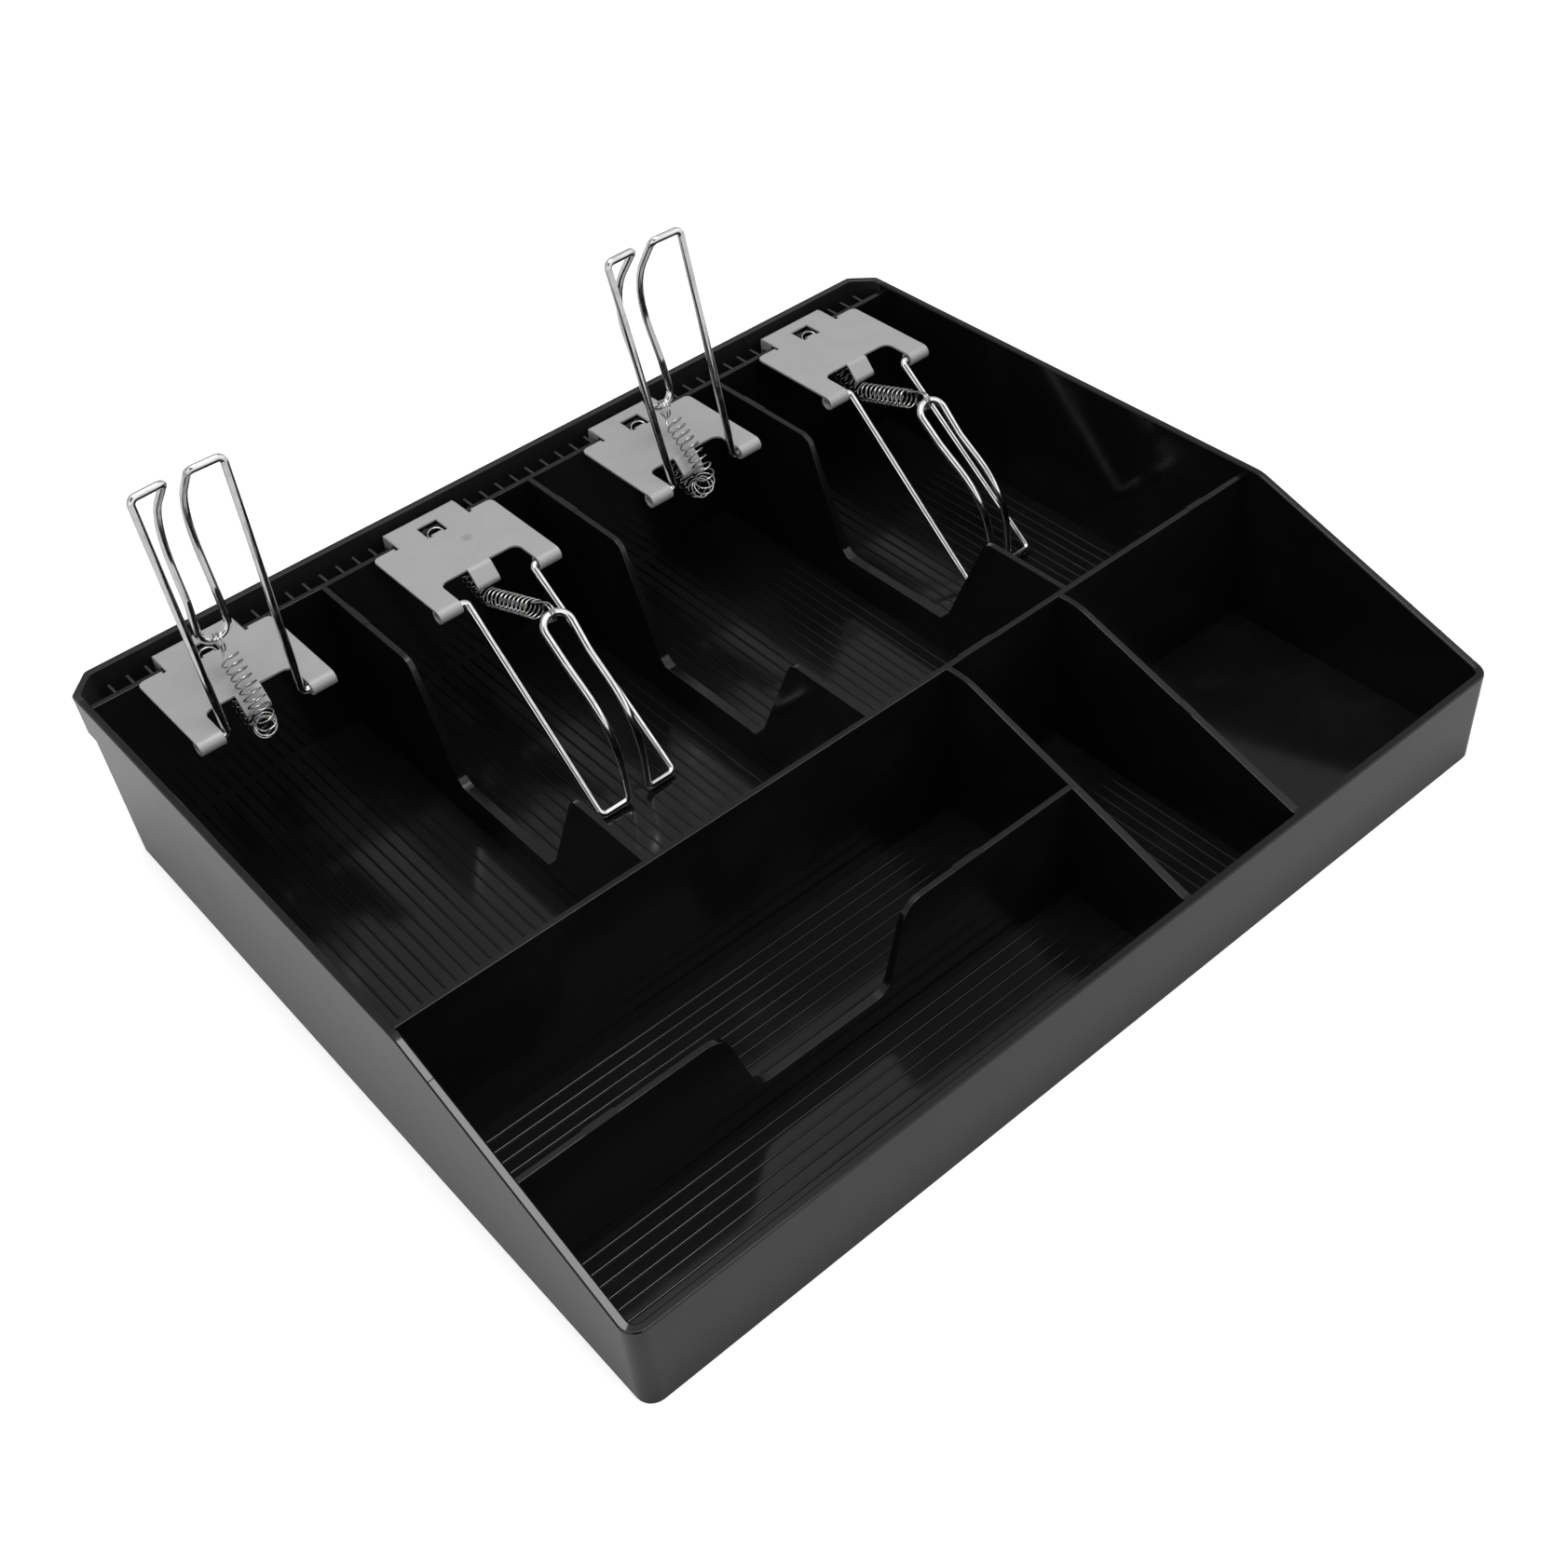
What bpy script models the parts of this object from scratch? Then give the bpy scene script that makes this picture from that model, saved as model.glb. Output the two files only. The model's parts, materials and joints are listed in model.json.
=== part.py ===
# Cash register tray: a moulded tray with four note bays and four coin bays, and four sprung
# note clips. Each clip is a folded steel bracket on the tray's inner rear wall, a wire bail
# that swings in the bracket's rolled barrels, and an extension spring that pulls the bail
# over centre. Two clips stand raised and two lie lowered into their bays.
# Metres, +Z up, +Y to the rear. The origin is under the middle of the tray.

import math

import bmesh
import bpy
from mathutils import Vector

# Tray shell
RIM_WIDTH = 0.3300
RIM_DEPTH = 0.2817
REAR_RIM_HEIGHT = 0.0623
FRONT_RIM_HEIGHT = 0.0330
FRONT_RIM_LEVEL = 0.0040
RIM_BEND_FROM_FRONT = 0.0910
RIM_BEND_RADIUS = 0.0120
WALL = 0.0025
OUTER_DRAFT_DEG = 0.5
INNER_DRAFT_DEG = 1.0
FRONT_CORNER_RADIUS = 0.0055
REAR_CHAMFER = 0.0080
REAR_CORNER_RADIUS = 0.0020
RIM_EDGE = 0.0004
FLOOR_TOP = 0.0046
FLOOR_THICKNESS = 0.0026
FOOT_WIDTH = 0.0030

# Dividers
DIVIDER_BELOW_RIM = 0.0028
DIVIDER_THICKNESS = 0.0019
NOTE_DIVIDER_PITCH = 0.0809
COIN_BAYS_DEPTH = 0.0970
NOTE_NOTCH_BOTTOM = 0.0180
NOTE_NOTCH_RADIUS = 0.0052
FRONT_SHOULDER = 0.0340
FRONT_RAMP = 0.0186
REAR_SHOULDER = 0.0510
REAR_RAMP = 0.0163
MID_DIVIDER_FROM_FRONT = 0.0462
MID_DIVIDER_BELOW_RIM = 0.0011
MID_NOTCH_BOTTOM = 0.0180
MID_NOTCH_FLOOR_WIDTH = 0.0470
MID_NOTCH_MOUTH_WIDTH = 0.0632
MID_NOTCH_MOUTH_RADIUS = 0.0080
MID_NOTCH_FLOOR_RADIUS = 0.0060
FIRST_COIN_DIVIDER = 0.0305
SECOND_COIN_DIVIDER = 0.0775
COIN_DIVIDER_BEND = 0.0090
COIN_DIVIDER_BEND_RADIUS = 0.0200

# Inner rear wall and the gusseted trough behind it
INNER_WALL_THICKNESS = 0.0020
TROUGH_WIDTH = 0.0102
TROUGH_DEPTH = 0.0093
LEDGE_THICKNESS = 0.0025
GUSSET_PITCH = 0.00626
GUSSET_THICKNESS = 0.0009
GUSSET_REACH = 0.0055
GUSSET_BELOW_WALL = 0.0005
GUSSET_FALL = 0.0015

# Clip bracket, folded from sheet
SEAT_GAP = 0.0003
SHEET = 0.0009
PLATE_WIDTH = 0.0466
PLATE_CORNER_RADIUS = 0.0022
PLATE_BEHIND_FACE = -0.0010
HINGE_FROM_WALL = 0.0386
LEG_WIDTH = 0.0084
LEG_FREE_LENGTH = 0.0109
LEG_NOTCH_RADIUS = 0.0030
BARREL_WRAP_DEG = 310.0
PIN_CLEARANCE = 0.00035
TONGUE_WIDTH = 0.0086
TONGUE_LENGTH = 0.0046
TONGUE_ANGLE_DEG = 50.0
TONGUE_BEND_RADIUS = 0.0020
TONGUE_CURL_RADIUS = 0.0013
TONGUE_CURL_DEG = 95.0
TAB_WIDTH = 0.0276
TAB_REACH = 0.0068
TAB_BEND_RADIUS = 0.0012
TAB_DROP = 0.0045
RELIEF_WIDTH = 0.0011
RELIEF_DEPTH = 0.0012
HOLE_WIDTH = 0.0074
HOLE_LENGTH = 0.0075
HOLE_AHEAD_OF_WALL = 0.0045
LUG_WIDTH = 0.0042
LUG_BEND_RADIUS = 0.0012
LUG_ANGLE_DEG = 75.0
LUG_LENGTH = 0.0026

# Wire bail
WIRE = 0.0025
BAIL_LENGTH = 0.0798
HINGE_HALF_SPREAD = 0.0128
TIP_HALF_SPREAD = 0.0144
PIN_END_INSET = 0.0011
PIN_BEND_RADIUS = 0.0016
TOE_BEND_RADIUS = 0.0020
TOE_HALF_GAP = 0.0037
TOE_RISE = 0.0006
SHOULDER_FROM_TIP = 0.0190
SHOULDER_RISE = 0.0210
SHOULDER_HALF_GAP = 0.0044
SHOULDER_RADIUS = 0.0300
NECK_FROM_HINGE = 0.0345
NECK_RISE = 0.0181
NECK_HALF_GAP = 0.0046
NECK_RADIUS = 0.0120
LOOP_FROM_HINGE = 0.0190
LOOP_RISE = 0.0188
LOOP_HALF_WIDTH = 0.0052
LOOP_RADIUS = 0.0047

# How each bail stands: its angle from the rear upwards where it is raised, the sideways lean
# of its tip, the sideways bend of its loop, and the play of its pins in the barrels
RAISED_ANGLE_DEG = (82.7, None, 79.4, None)
BAIL_LEAN = (0.0016, 0.0009, -0.0016, 0.0008)
LOOP_BEND = (-0.0002, 0.0014, 0.0018, -0.0010)
PIN_PLAY = (-0.0004, 0.0004, 0.0000, -0.0003)

# Clip places, as offsets from the middle of each note bay
CLIP_OFFSET = (-0.0024, 0.0008, 0.0040, 0.0012)

# Extension spring
SPRING_WIRE = 0.0007
COIL_RADIUS = 0.0031
COIL_TURNS = 17
POINTS_PER_TURN = 8
SPRING_GAP = 0.0010
COIL_START = 0.0064
HOOK_TURNS = 1.6
HOOK_PITCH = 0.0016
HOOK_CLEARANCE = 0.0005
COIL_STOPS_BEFORE_HOLE = 0.0036
COIL_BELOW_PLATE = 0.0039
EYE_RADIUS = 0.0029
EYE_TILT_DEG = 17.0
EYE_REAR_IN_HOLE = 0.0042
EYE_TURN_DEG = 262.0
SPRING_SLIP = (-0.0010, 0.0, 0.0002, 0.0)
SPRING_SAG = (0.0004, 0.0, 0.0010, 0.0)
LEAST_TURN_GAP = 0.0004

# Facets of round forms
ARC_STEP_DEG = 15.0
BARREL_STEP_DEG = 22.5
WIRE_STEP_DEG = 18.0
CORNER_STEPS = 6
SOFT_STEPS = 2
SMOOTH_BELOW_DEG = 30.0

# Places that follow from the sizes
FRONT = -RIM_DEPTH / 2
REAR = RIM_DEPTH / 2
HALF_WIDTH = RIM_WIDTH / 2
OUTER_SLOPE = math.tan(math.radians(OUTER_DRAFT_DEG))
INNER_SLOPE = math.tan(math.radians(INNER_DRAFT_DEG))
DIVIDER_TOP = REAR_RIM_HEIGHT - DIVIDER_BELOW_RIM
UNDERSIDE = FLOOR_TOP - FLOOR_THICKNESS
ROOT = UNDERSIDE + FLOOR_THICKNESS / 2
LEDGE_TOP = DIVIDER_TOP - TROUGH_DEPTH
LEDGE_UNDERSIDE = LEDGE_TOP - LEDGE_THICKNESS
WALL_BACK = REAR - WALL - TROUGH_WIDTH
WALL_FACE = WALL_BACK - INNER_WALL_THICKNESS
CROSS_DIVIDER = FRONT + COIN_BAYS_DEPTH
MID_DIVIDER = FRONT + MID_DIVIDER_FROM_FRONT
WALL_MIDDLE = WALL / 2 + DIVIDER_TOP * (INNER_SLOPE + OUTER_SLOPE) / 4
SHEET_MIDDLE = DIVIDER_TOP + SEAT_GAP + SHEET / 2
BARREL_INNER = WIRE / 2 + PIN_CLEARANCE
BARREL_MIDDLE = BARREL_INNER + SHEET / 2
HINGE_Y = WALL_FACE - HINGE_FROM_WALL
HINGE_Z = SHEET_MIDDLE - BARREL_MIDDLE
HOLE_FRONT = WALL_FACE - HOLE_AHEAD_OF_WALL
COIL_OUTER = COIL_RADIUS + SPRING_WIRE / 2


def make_material(name, colour, roughness, metallic):
    """A Principled material of one colour."""
    material = bpy.data.materials.new(name)
    material.use_nodes = True
    shader = material.node_tree.nodes["Principled BSDF"]
    shader.inputs["Base Color"].default_value = (*colour, 1.0)
    shader.inputs["Roughness"].default_value = roughness
    shader.inputs["Metallic"].default_value = metallic
    return material


def add_object(name, data, material=None):
    """Link new object data into the scene."""
    thing = bpy.data.objects.new(name, data)
    bpy.context.scene.collection.objects.link(thing)
    if material:
        data.materials.clear()
        data.materials.append(material)
    return thing


def mesh_from(name, points, faces):
    """A closed mesh with its faces turned outwards."""
    form = bmesh.new()
    corners = [form.verts.new(point) for point in points]
    for face in faces:
        form.faces.new([corners[index] for index in face])
    bmesh.ops.recalc_face_normals(form, faces=form.faces)
    mesh = bpy.data.meshes.new(name)
    form.to_mesh(mesh)
    form.free()
    return mesh


def loft(name, loops):
    """Skin a run of closed loops of equal count, and cap the first and the last."""
    count = len(loops[0])
    points = [point for loop in loops for point in loop]
    faces = [list(range(count)), list(range(len(points) - count, len(points)))]
    for ring in range(len(loops) - 1):
        for index in range(count):
            following = (index + 1) % count
            low = ring * count
            high = low + count
            faces.append((low + index, low + following, high + following, high + index))
    return mesh_from(name, points, faces)


def combine(base, tool, operation):
    """Join a tool to a solid or cut it away, and remove the tool."""
    modifier = base.modifiers.new(operation.title(), "BOOLEAN")
    modifier.operation = operation
    modifier.solver = "EXACT"
    modifier.object = tool
    graph = bpy.context.evaluated_depsgraph_get()
    result = bpy.data.meshes.new_from_object(base.evaluated_get(graph))
    base.modifiers.clear()
    base.data = result
    bpy.data.objects.remove(tool)


def tidy(mesh):
    """Merge what the cuts left double, dissolve flat faces into one and shade bends smooth."""
    form = bmesh.new()
    form.from_mesh(mesh)
    bmesh.ops.remove_doubles(form, verts=form.verts, dist=1e-6)
    bmesh.ops.dissolve_degenerate(form, edges=form.edges, dist=1e-6)
    bmesh.ops.dissolve_limit(form, angle_limit=math.radians(0.05), verts=form.verts, edges=form.edges)
    bmesh.ops.triangulate(form, faces=form.faces)
    form.to_mesh(mesh)
    form.free()
    mesh.shade_smooth()
    mesh.set_sharp_from_angle(angle=math.radians(SMOOTH_BELOW_DEG))


def rounded(corners, radii, steps=None, closed=False):
    """A polyline in which each corner with a radius is an arc, in two or three dimensions."""
    result = []
    last = len(corners) - 1
    for index, corner in enumerate(corners):
        radius = radii[index]
        if radius == 0 or (not closed and index in (0, last)):
            result.append(corner)
            continue
        arrive = (corner - corners[index - 1]).normalized()
        leave = (corners[(index + 1) % len(corners)] - corner).normalized()
        turn = arrive.angle(leave)
        reach = radius * math.tan(turn / 2)
        start = corner - arrive * reach
        inward = (leave - arrive * arrive.dot(leave)).normalized()
        centre = start + inward * radius
        pieces = steps or max(2, math.ceil(math.degrees(turn) / WIRE_STEP_DEG))
        for piece in range(pieces + 1):
            angle = turn * piece / pieces
            result.append(centre - inward * radius * math.cos(angle) + arrive * radius * math.sin(angle))
    return result


def rim_profile():
    """The side rim from front to rear: level, a straight slope, and level again."""
    corners = [
        Vector((FRONT - WALL, FRONT_RIM_HEIGHT)),
        Vector((FRONT + FRONT_RIM_LEVEL, FRONT_RIM_HEIGHT)),
        Vector((FRONT + RIM_BEND_FROM_FRONT, REAR_RIM_HEIGHT)),
        Vector((REAR + WALL, REAR_RIM_HEIGHT)),
    ]
    return rounded(corners, (0, RIM_BEND_RADIUS, RIM_BEND_RADIUS, 0), steps=3)


def rim_height(y):
    """Height of the rim at a distance from front to rear."""
    profile = rim_profile()
    for low, high in zip(profile, profile[1:]):
        if low.x <= y <= high.x:
            return low.y + (high.y - low.y) * (y - low.x) / (high.x - low.x)
    return REAR_RIM_HEIGHT


def plan_outline(inset):
    """The tray's outline from above, drawn in by a distance: round in front, chamfered behind."""
    side = HALF_WIDTH - inset
    front = FRONT - (REAR_RIM_HEIGHT - FRONT_RIM_HEIGHT) * OUTER_SLOPE + inset
    rear = REAR - inset
    radius = max(FRONT_CORNER_RADIUS - inset, RIM_EDGE)
    chamfer = REAR_CHAMFER - inset * (2 - math.sqrt(2))
    breaks = [point.x for point in rim_profile()[1:-1] if point.x > FRONT + FRONT_CORNER_RADIUS]
    right = [Vector((side, y)) for y in breaks]
    left = [Vector((-side, y)) for y in reversed(breaks)]
    front_left = Vector((-side, front))
    front_right = Vector((side, front))
    chamfers = [
        Vector((side, rear - chamfer)),
        Vector((side - chamfer, rear)),
        Vector((chamfer - side, rear)),
        Vector((-side, rear - chamfer)),
    ]
    start = rounded([left[-1], front_left, front_right], (0, radius, 0), CORNER_STEPS)[1:-1]
    start += rounded([front_left, front_right, right[0]], (0, radius, 0), CORNER_STEPS)[1:-1]
    rear_run = rounded([right[-1], *chamfers, left[0]], (0, *[REAR_CORNER_RADIUS] * 4, 0), SOFT_STEPS)
    return start + right + rear_run[1:-1] + left


def level_loop(inset, level):
    """The plan outline at one height."""
    return [Vector((point.x, point.y, level)) for point in plan_outline(inset)]


def rim_loop(wall, slope, step_in, drop):
    """The plan outline where it meets the rim, whose height changes from front to rear."""
    loop = []
    for index, nominal in enumerate(plan_outline(0)):
        level = rim_height(nominal.y) - drop
        inset = wall + step_in + (REAR_RIM_HEIGHT - level) * slope
        point = plan_outline(inset)[index]
        loop.append(Vector((point.x, point.y, level)))
    return loop


def tray_shell():
    """Walls, floor and foot rim as one skin, from the underside round the rim to the floor."""
    foot_inset = REAR_RIM_HEIGHT * OUTER_SLOPE
    floor_inset = WALL + (REAR_RIM_HEIGHT - FLOOR_TOP) * INNER_SLOPE
    loops = [
        level_loop(foot_inset + FOOT_WIDTH, UNDERSIDE),
        level_loop(foot_inset + FOOT_WIDTH, 0),
        level_loop(foot_inset, 0),
        rim_loop(0, OUTER_SLOPE, 0, RIM_EDGE),
        rim_loop(0, OUTER_SLOPE, RIM_EDGE, 0),
        rim_loop(WALL, INNER_SLOPE, -RIM_EDGE, 0),
        rim_loop(WALL, INNER_SLOPE, 0, RIM_EDGE),
        level_loop(floor_inset, FLOOR_TOP),
    ]
    return loft("tray_body", loops)


def divider(profile, across_x, centre, top, thickness):
    """A drafted web: a profile of (distance, height) that thickens from its top downwards."""
    sides = []
    for sign in (-1, 1):
        side = []
        for point in profile:
            offset = centre + sign * (thickness / 2 + (top - point.y) * INNER_SLOPE)
            place = (offset, point.x, point.y) if across_x else (point.x, offset, point.y)
            side.append(Vector(place))
        sides.append(side)
    return add_object("web", loft("web", sides))


def level_web(low, high, top):
    """The plain rectangular profile of a web with a level top."""
    return [Vector((low, ROOT)), Vector((high, ROOT)), Vector((high, top)), Vector((low, top))]


def note_divider_profile():
    """From the cross divider to the inner wall, with the wide dip that lets fingers in."""
    front_top = CROSS_DIVIDER + FRONT_SHOULDER
    rear_top = WALL_FACE - REAR_SHOULDER
    corners = [
        Vector((CROSS_DIVIDER, ROOT)),
        Vector((WALL_BACK - INNER_WALL_THICKNESS / 2, ROOT)),
        Vector((WALL_BACK - INNER_WALL_THICKNESS / 2, DIVIDER_TOP)),
        Vector((rear_top, DIVIDER_TOP)),
        Vector((rear_top - REAR_RAMP, NOTE_NOTCH_BOTTOM)),
        Vector((front_top + FRONT_RAMP, NOTE_NOTCH_BOTTOM)),
        Vector((front_top, DIVIDER_TOP)),
        Vector((CROSS_DIVIDER, DIVIDER_TOP)),
    ]
    radius = NOTE_NOTCH_RADIUS
    return rounded(corners, (0, 0, 0, radius, radius, radius, radius, 0), CORNER_STEPS)


def mid_divider_profile(low, high, top):
    """From the left wall to the first coin divider, with a finger notch in its middle."""
    middle = (low + high) / 2
    mouth = MID_NOTCH_MOUTH_WIDTH / 2
    floor = MID_NOTCH_FLOOR_WIDTH / 2
    corners = [
        Vector((low, ROOT)),
        Vector((high, ROOT)),
        Vector((high, top)),
        Vector((middle + mouth, top)),
        Vector((middle + floor, MID_NOTCH_BOTTOM)),
        Vector((middle - floor, MID_NOTCH_BOTTOM)),
        Vector((middle - mouth, top)),
        Vector((low, top)),
    ]
    top_radius = MID_NOTCH_MOUTH_RADIUS
    low_radius = MID_NOTCH_FLOOR_RADIUS
    radii = (0, 0, 0, top_radius, low_radius, low_radius, top_radius, 0)
    return rounded(corners, radii, CORNER_STEPS)


def coin_divider_profile():
    """From the front wall to the cross divider, sloping with the side rims."""
    front_end = FRONT + WALL_MIDDLE
    start = FRONT_RIM_HEIGHT - RIM_EDGE
    corners = [
        Vector((front_end, ROOT)),
        Vector((CROSS_DIVIDER, ROOT)),
        Vector((CROSS_DIVIDER, DIVIDER_TOP)),
        Vector((CROSS_DIVIDER - COIN_DIVIDER_BEND, DIVIDER_TOP)),
        Vector((FRONT + FRONT_RIM_LEVEL, start)),
        Vector((front_end, start)),
    ]
    return rounded(corners, (0, 0, 0, COIN_DIVIDER_BEND_RADIUS, 0, 0), SOFT_STEPS + 1)


def trough_ledge():
    """The floor of the trough, which carries the outer rear wall."""
    inset = WALL / 2
    side = HALF_WIDTH - WALL_MIDDLE
    rear = REAR - inset
    chamfer = REAR_CHAMFER - inset * (2 - math.sqrt(2))
    start = WALL_FACE + INNER_WALL_THICKNESS / 2
    outline = [
        (-side, start),
        (side, start),
        (side, rear - chamfer),
        (side - chamfer, rear),
        (chamfer - side, rear),
        (-side, rear - chamfer),
    ]
    levels = (LEDGE_UNDERSIDE, LEDGE_TOP)
    loops = [[Vector((x, y, level)) for x, y in outline] for level in levels]
    return add_object("ledge", loft("ledge", loops))


def gusset_row():
    """Short webs in the trough that stiffen the inner wall, at an even pitch."""
    top = DIVIDER_TOP - GUSSET_BELOW_WALL
    root = LEDGE_TOP - LEDGE_THICKNESS / 2
    reach = WALL_BACK + GUSSET_REACH
    start = WALL_FACE + INNER_WALL_THICKNESS / 2
    profile = [(start, root), (reach, root), (reach, top - GUSSET_FALL), (WALL_BACK, top), (start, top)]
    pairs = math.floor((HALF_WIDTH - WALL - REAR_CHAMFER) / GUSSET_PITCH + 0.5)
    row = bmesh.new()
    for index in range(-pairs, pairs):
        centre = (index + 0.5) * GUSSET_PITCH
        low = centre - GUSSET_THICKNESS / 2
        high = centre + GUSSET_THICKNESS / 2
        loops = [[Vector((x, y, z)) for y, z in profile] for x in (low, high)]
        gusset = loft("gusset", loops)
        row.from_mesh(gusset)
        bpy.data.meshes.remove(gusset)
    mesh = bpy.data.meshes.new("gussets")
    row.to_mesh(mesh)
    row.free()
    return add_object("gussets", mesh)


def step_outline(level):
    """Edge of the space under the ledge, at one height, with the lower tub's round corners."""
    side = HALF_WIDTH - (REAR_RIM_HEIGHT - level) * OUTER_SLOPE + SEAT_GAP / 4
    back = WALL_BACK - (LEDGE_UNDERSIDE - level) * OUTER_SLOPE
    far_side = HALF_WIDTH + WALL
    far_rear = REAR + WALL
    corners = [
        Vector((far_side, back - REAR_CORNER_RADIUS)),
        Vector((side, back - REAR_CORNER_RADIUS)),
        Vector((side, back)),
        Vector((-side, back)),
        Vector((-side, back - REAR_CORNER_RADIUS)),
        Vector((-far_side, back - REAR_CORNER_RADIUS)),
    ]
    radius = REAR_CORNER_RADIUS * 0.999
    line = rounded(corners, (0, 0, radius, radius, 0, 0), SOFT_STEPS + 2)
    line += [Vector((-far_side, far_rear)), Vector((far_side, far_rear))]
    return [Vector((point.x, point.y, level)) for point in line]


def make_tray(material):
    """The moulded tray: shell, webs, trough and the step below the ledge."""
    tray = add_object("tray_body", tray_shell())
    side = HALF_WIDTH - WALL_MIDDLE
    inner_wall = level_web(-side, side, DIVIDER_TOP)
    wall_centre = (WALL_FACE + WALL_BACK) / 2
    combine(tray, divider(inner_wall, False, wall_centre, DIVIDER_TOP, INNER_WALL_THICKNESS), "UNION")
    combine(tray, trough_ledge(), "UNION")
    cross = level_web(-side, side, DIVIDER_TOP)
    combine(tray, divider(cross, False, CROSS_DIVIDER, DIVIDER_TOP, DIVIDER_THICKNESS), "UNION")
    for index in (-1, 0, 1):
        centre = index * NOTE_DIVIDER_PITCH
        web = divider(note_divider_profile(), True, centre, DIVIDER_TOP, DIVIDER_THICKNESS)
        combine(tray, web, "UNION")
    for centre in (FIRST_COIN_DIVIDER, SECOND_COIN_DIVIDER):
        web = divider(coin_divider_profile(), True, centre, DIVIDER_TOP, DIVIDER_THICKNESS)
        combine(tray, web, "UNION")
    mid_top = rim_height(MID_DIVIDER) - MID_DIVIDER_BELOW_RIM
    mid = mid_divider_profile(-side, FIRST_COIN_DIVIDER, mid_top)
    combine(tray, divider(mid, False, MID_DIVIDER, mid_top, DIVIDER_THICKNESS), "UNION")
    combine(tray, gusset_row(), "UNION")
    below = add_object("step", loft("step", [step_outline(-WALL), step_outline(LEDGE_UNDERSIDE)]))
    combine(tray, below, "DIFFERENCE")
    tidy(tray.data)
    tray.data.materials.clear()
    tray.data.materials.append(material)
    return tray


def bent_line(start, heading_deg, moves):
    """Middle line of a folded strip: ('flat', length) or ('bend', radius, degrees, step)."""
    points = [start.copy()]
    centres = []
    heading = math.radians(heading_deg)
    for move in moves:
        here = points[-1]
        if move[0] == "flat":
            points.append(here + move[1] * Vector((math.cos(heading), math.sin(heading))))
            continue
        radius, turn, step = move[1], math.radians(move[2]), math.radians(move[3])
        sense = math.copysign(1, turn)
        centre = here + sense * radius * Vector((-math.sin(heading), math.cos(heading)))
        centres.append(centre)
        pieces = max(2, math.ceil(abs(turn) / step))
        for piece in range(1, pieces + 1):
            angle = heading + turn * piece / pieces
            points.append(centre + sense * radius * Vector((math.sin(angle), -math.cos(angle))))
        heading += turn
    return points, centres


def strip(line, low, high):
    """A strip of sheet that follows a middle line and spans a width."""
    left = []
    right = []
    for index, point in enumerate(line):
        before = line[max(index - 1, 0)]
        after = line[min(index + 1, len(line) - 1)]
        along = (after - before).normalized()
        normal = Vector((-along.y, along.x)) * SHEET / 2
        if 0 < index < len(line) - 1:
            first = (point - before).normalized()
            normal /= max(first.dot(along), 0.5)
        left.append(point + normal)
        right.append(point - normal)
    profile = left + right[::-1]
    loops = [[Vector((x, point.x, point.y)) for point in profile] for x in (low, high)]
    return add_object("strip", loft("strip", loops))


def box(low, high):
    """A plain block between two corners."""
    outline = [(low[0], low[1]), (high[0], low[1]), (high[0], high[1]), (low[0], high[1])]
    loops = [[Vector((x, y, level)) for x, y in outline] for level in (low[2], high[2])]
    return add_object("box", loft("box", loops))


def tongue_line():
    """The middle tongue, bent down with its tip curled under, where the spring turns."""
    root = Vector((HINGE_Y + LEG_FREE_LENGTH + LEG_NOTCH_RADIUS, SHEET_MIDDLE))
    moves = (
        ("flat", LEG_NOTCH_RADIUS - SEAT_GAP),
        ("bend", TONGUE_BEND_RADIUS, TONGUE_ANGLE_DEG, ARC_STEP_DEG),
        ("flat", TONGUE_LENGTH),
        ("bend", TONGUE_CURL_RADIUS, TONGUE_CURL_DEG, BARREL_STEP_DEG),
        ("flat", SEAT_GAP),
    )
    return bent_line(root, 180, moves)


def plate_outline():
    """The bracket's flat part from above, with its front notches and rear reliefs."""
    half = PLATE_WIDTH / 2
    leg = half - LEG_WIDTH
    tongue = TONGUE_WIDTH / 2
    tab = TAB_WIDTH / 2
    front = HINGE_Y
    notch = HINGE_Y + LEG_FREE_LENGTH
    rear = WALL_FACE + PLATE_BEHIND_FACE
    corners = [
        ((half, front), 0),
        ((half, rear), PLATE_CORNER_RADIUS),
        ((tab + RELIEF_WIDTH, rear), 0),
        ((tab + RELIEF_WIDTH, rear - RELIEF_DEPTH), 0),
        ((tab, rear - RELIEF_DEPTH), 0),
        ((tab, WALL_BACK), 0),
        ((-tab, WALL_BACK), 0),
        ((-tab, rear - RELIEF_DEPTH), 0),
        ((-tab - RELIEF_WIDTH, rear - RELIEF_DEPTH), 0),
        ((-tab - RELIEF_WIDTH, rear), 0),
        ((-half, rear), PLATE_CORNER_RADIUS),
        ((-half, front), 0),
        ((-leg, front), 0),
        ((-leg, notch), LEG_NOTCH_RADIUS),
        ((-tongue, notch), 0),
        ((tongue, notch), 0),
        ((leg, notch), LEG_NOTCH_RADIUS),
        ((leg, front), 0),
    ]
    points = [Vector(place) for place, radius in corners]
    radii = [radius for place, radius in corners]
    return rounded(points, radii, CORNER_STEPS, closed=True)


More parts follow.
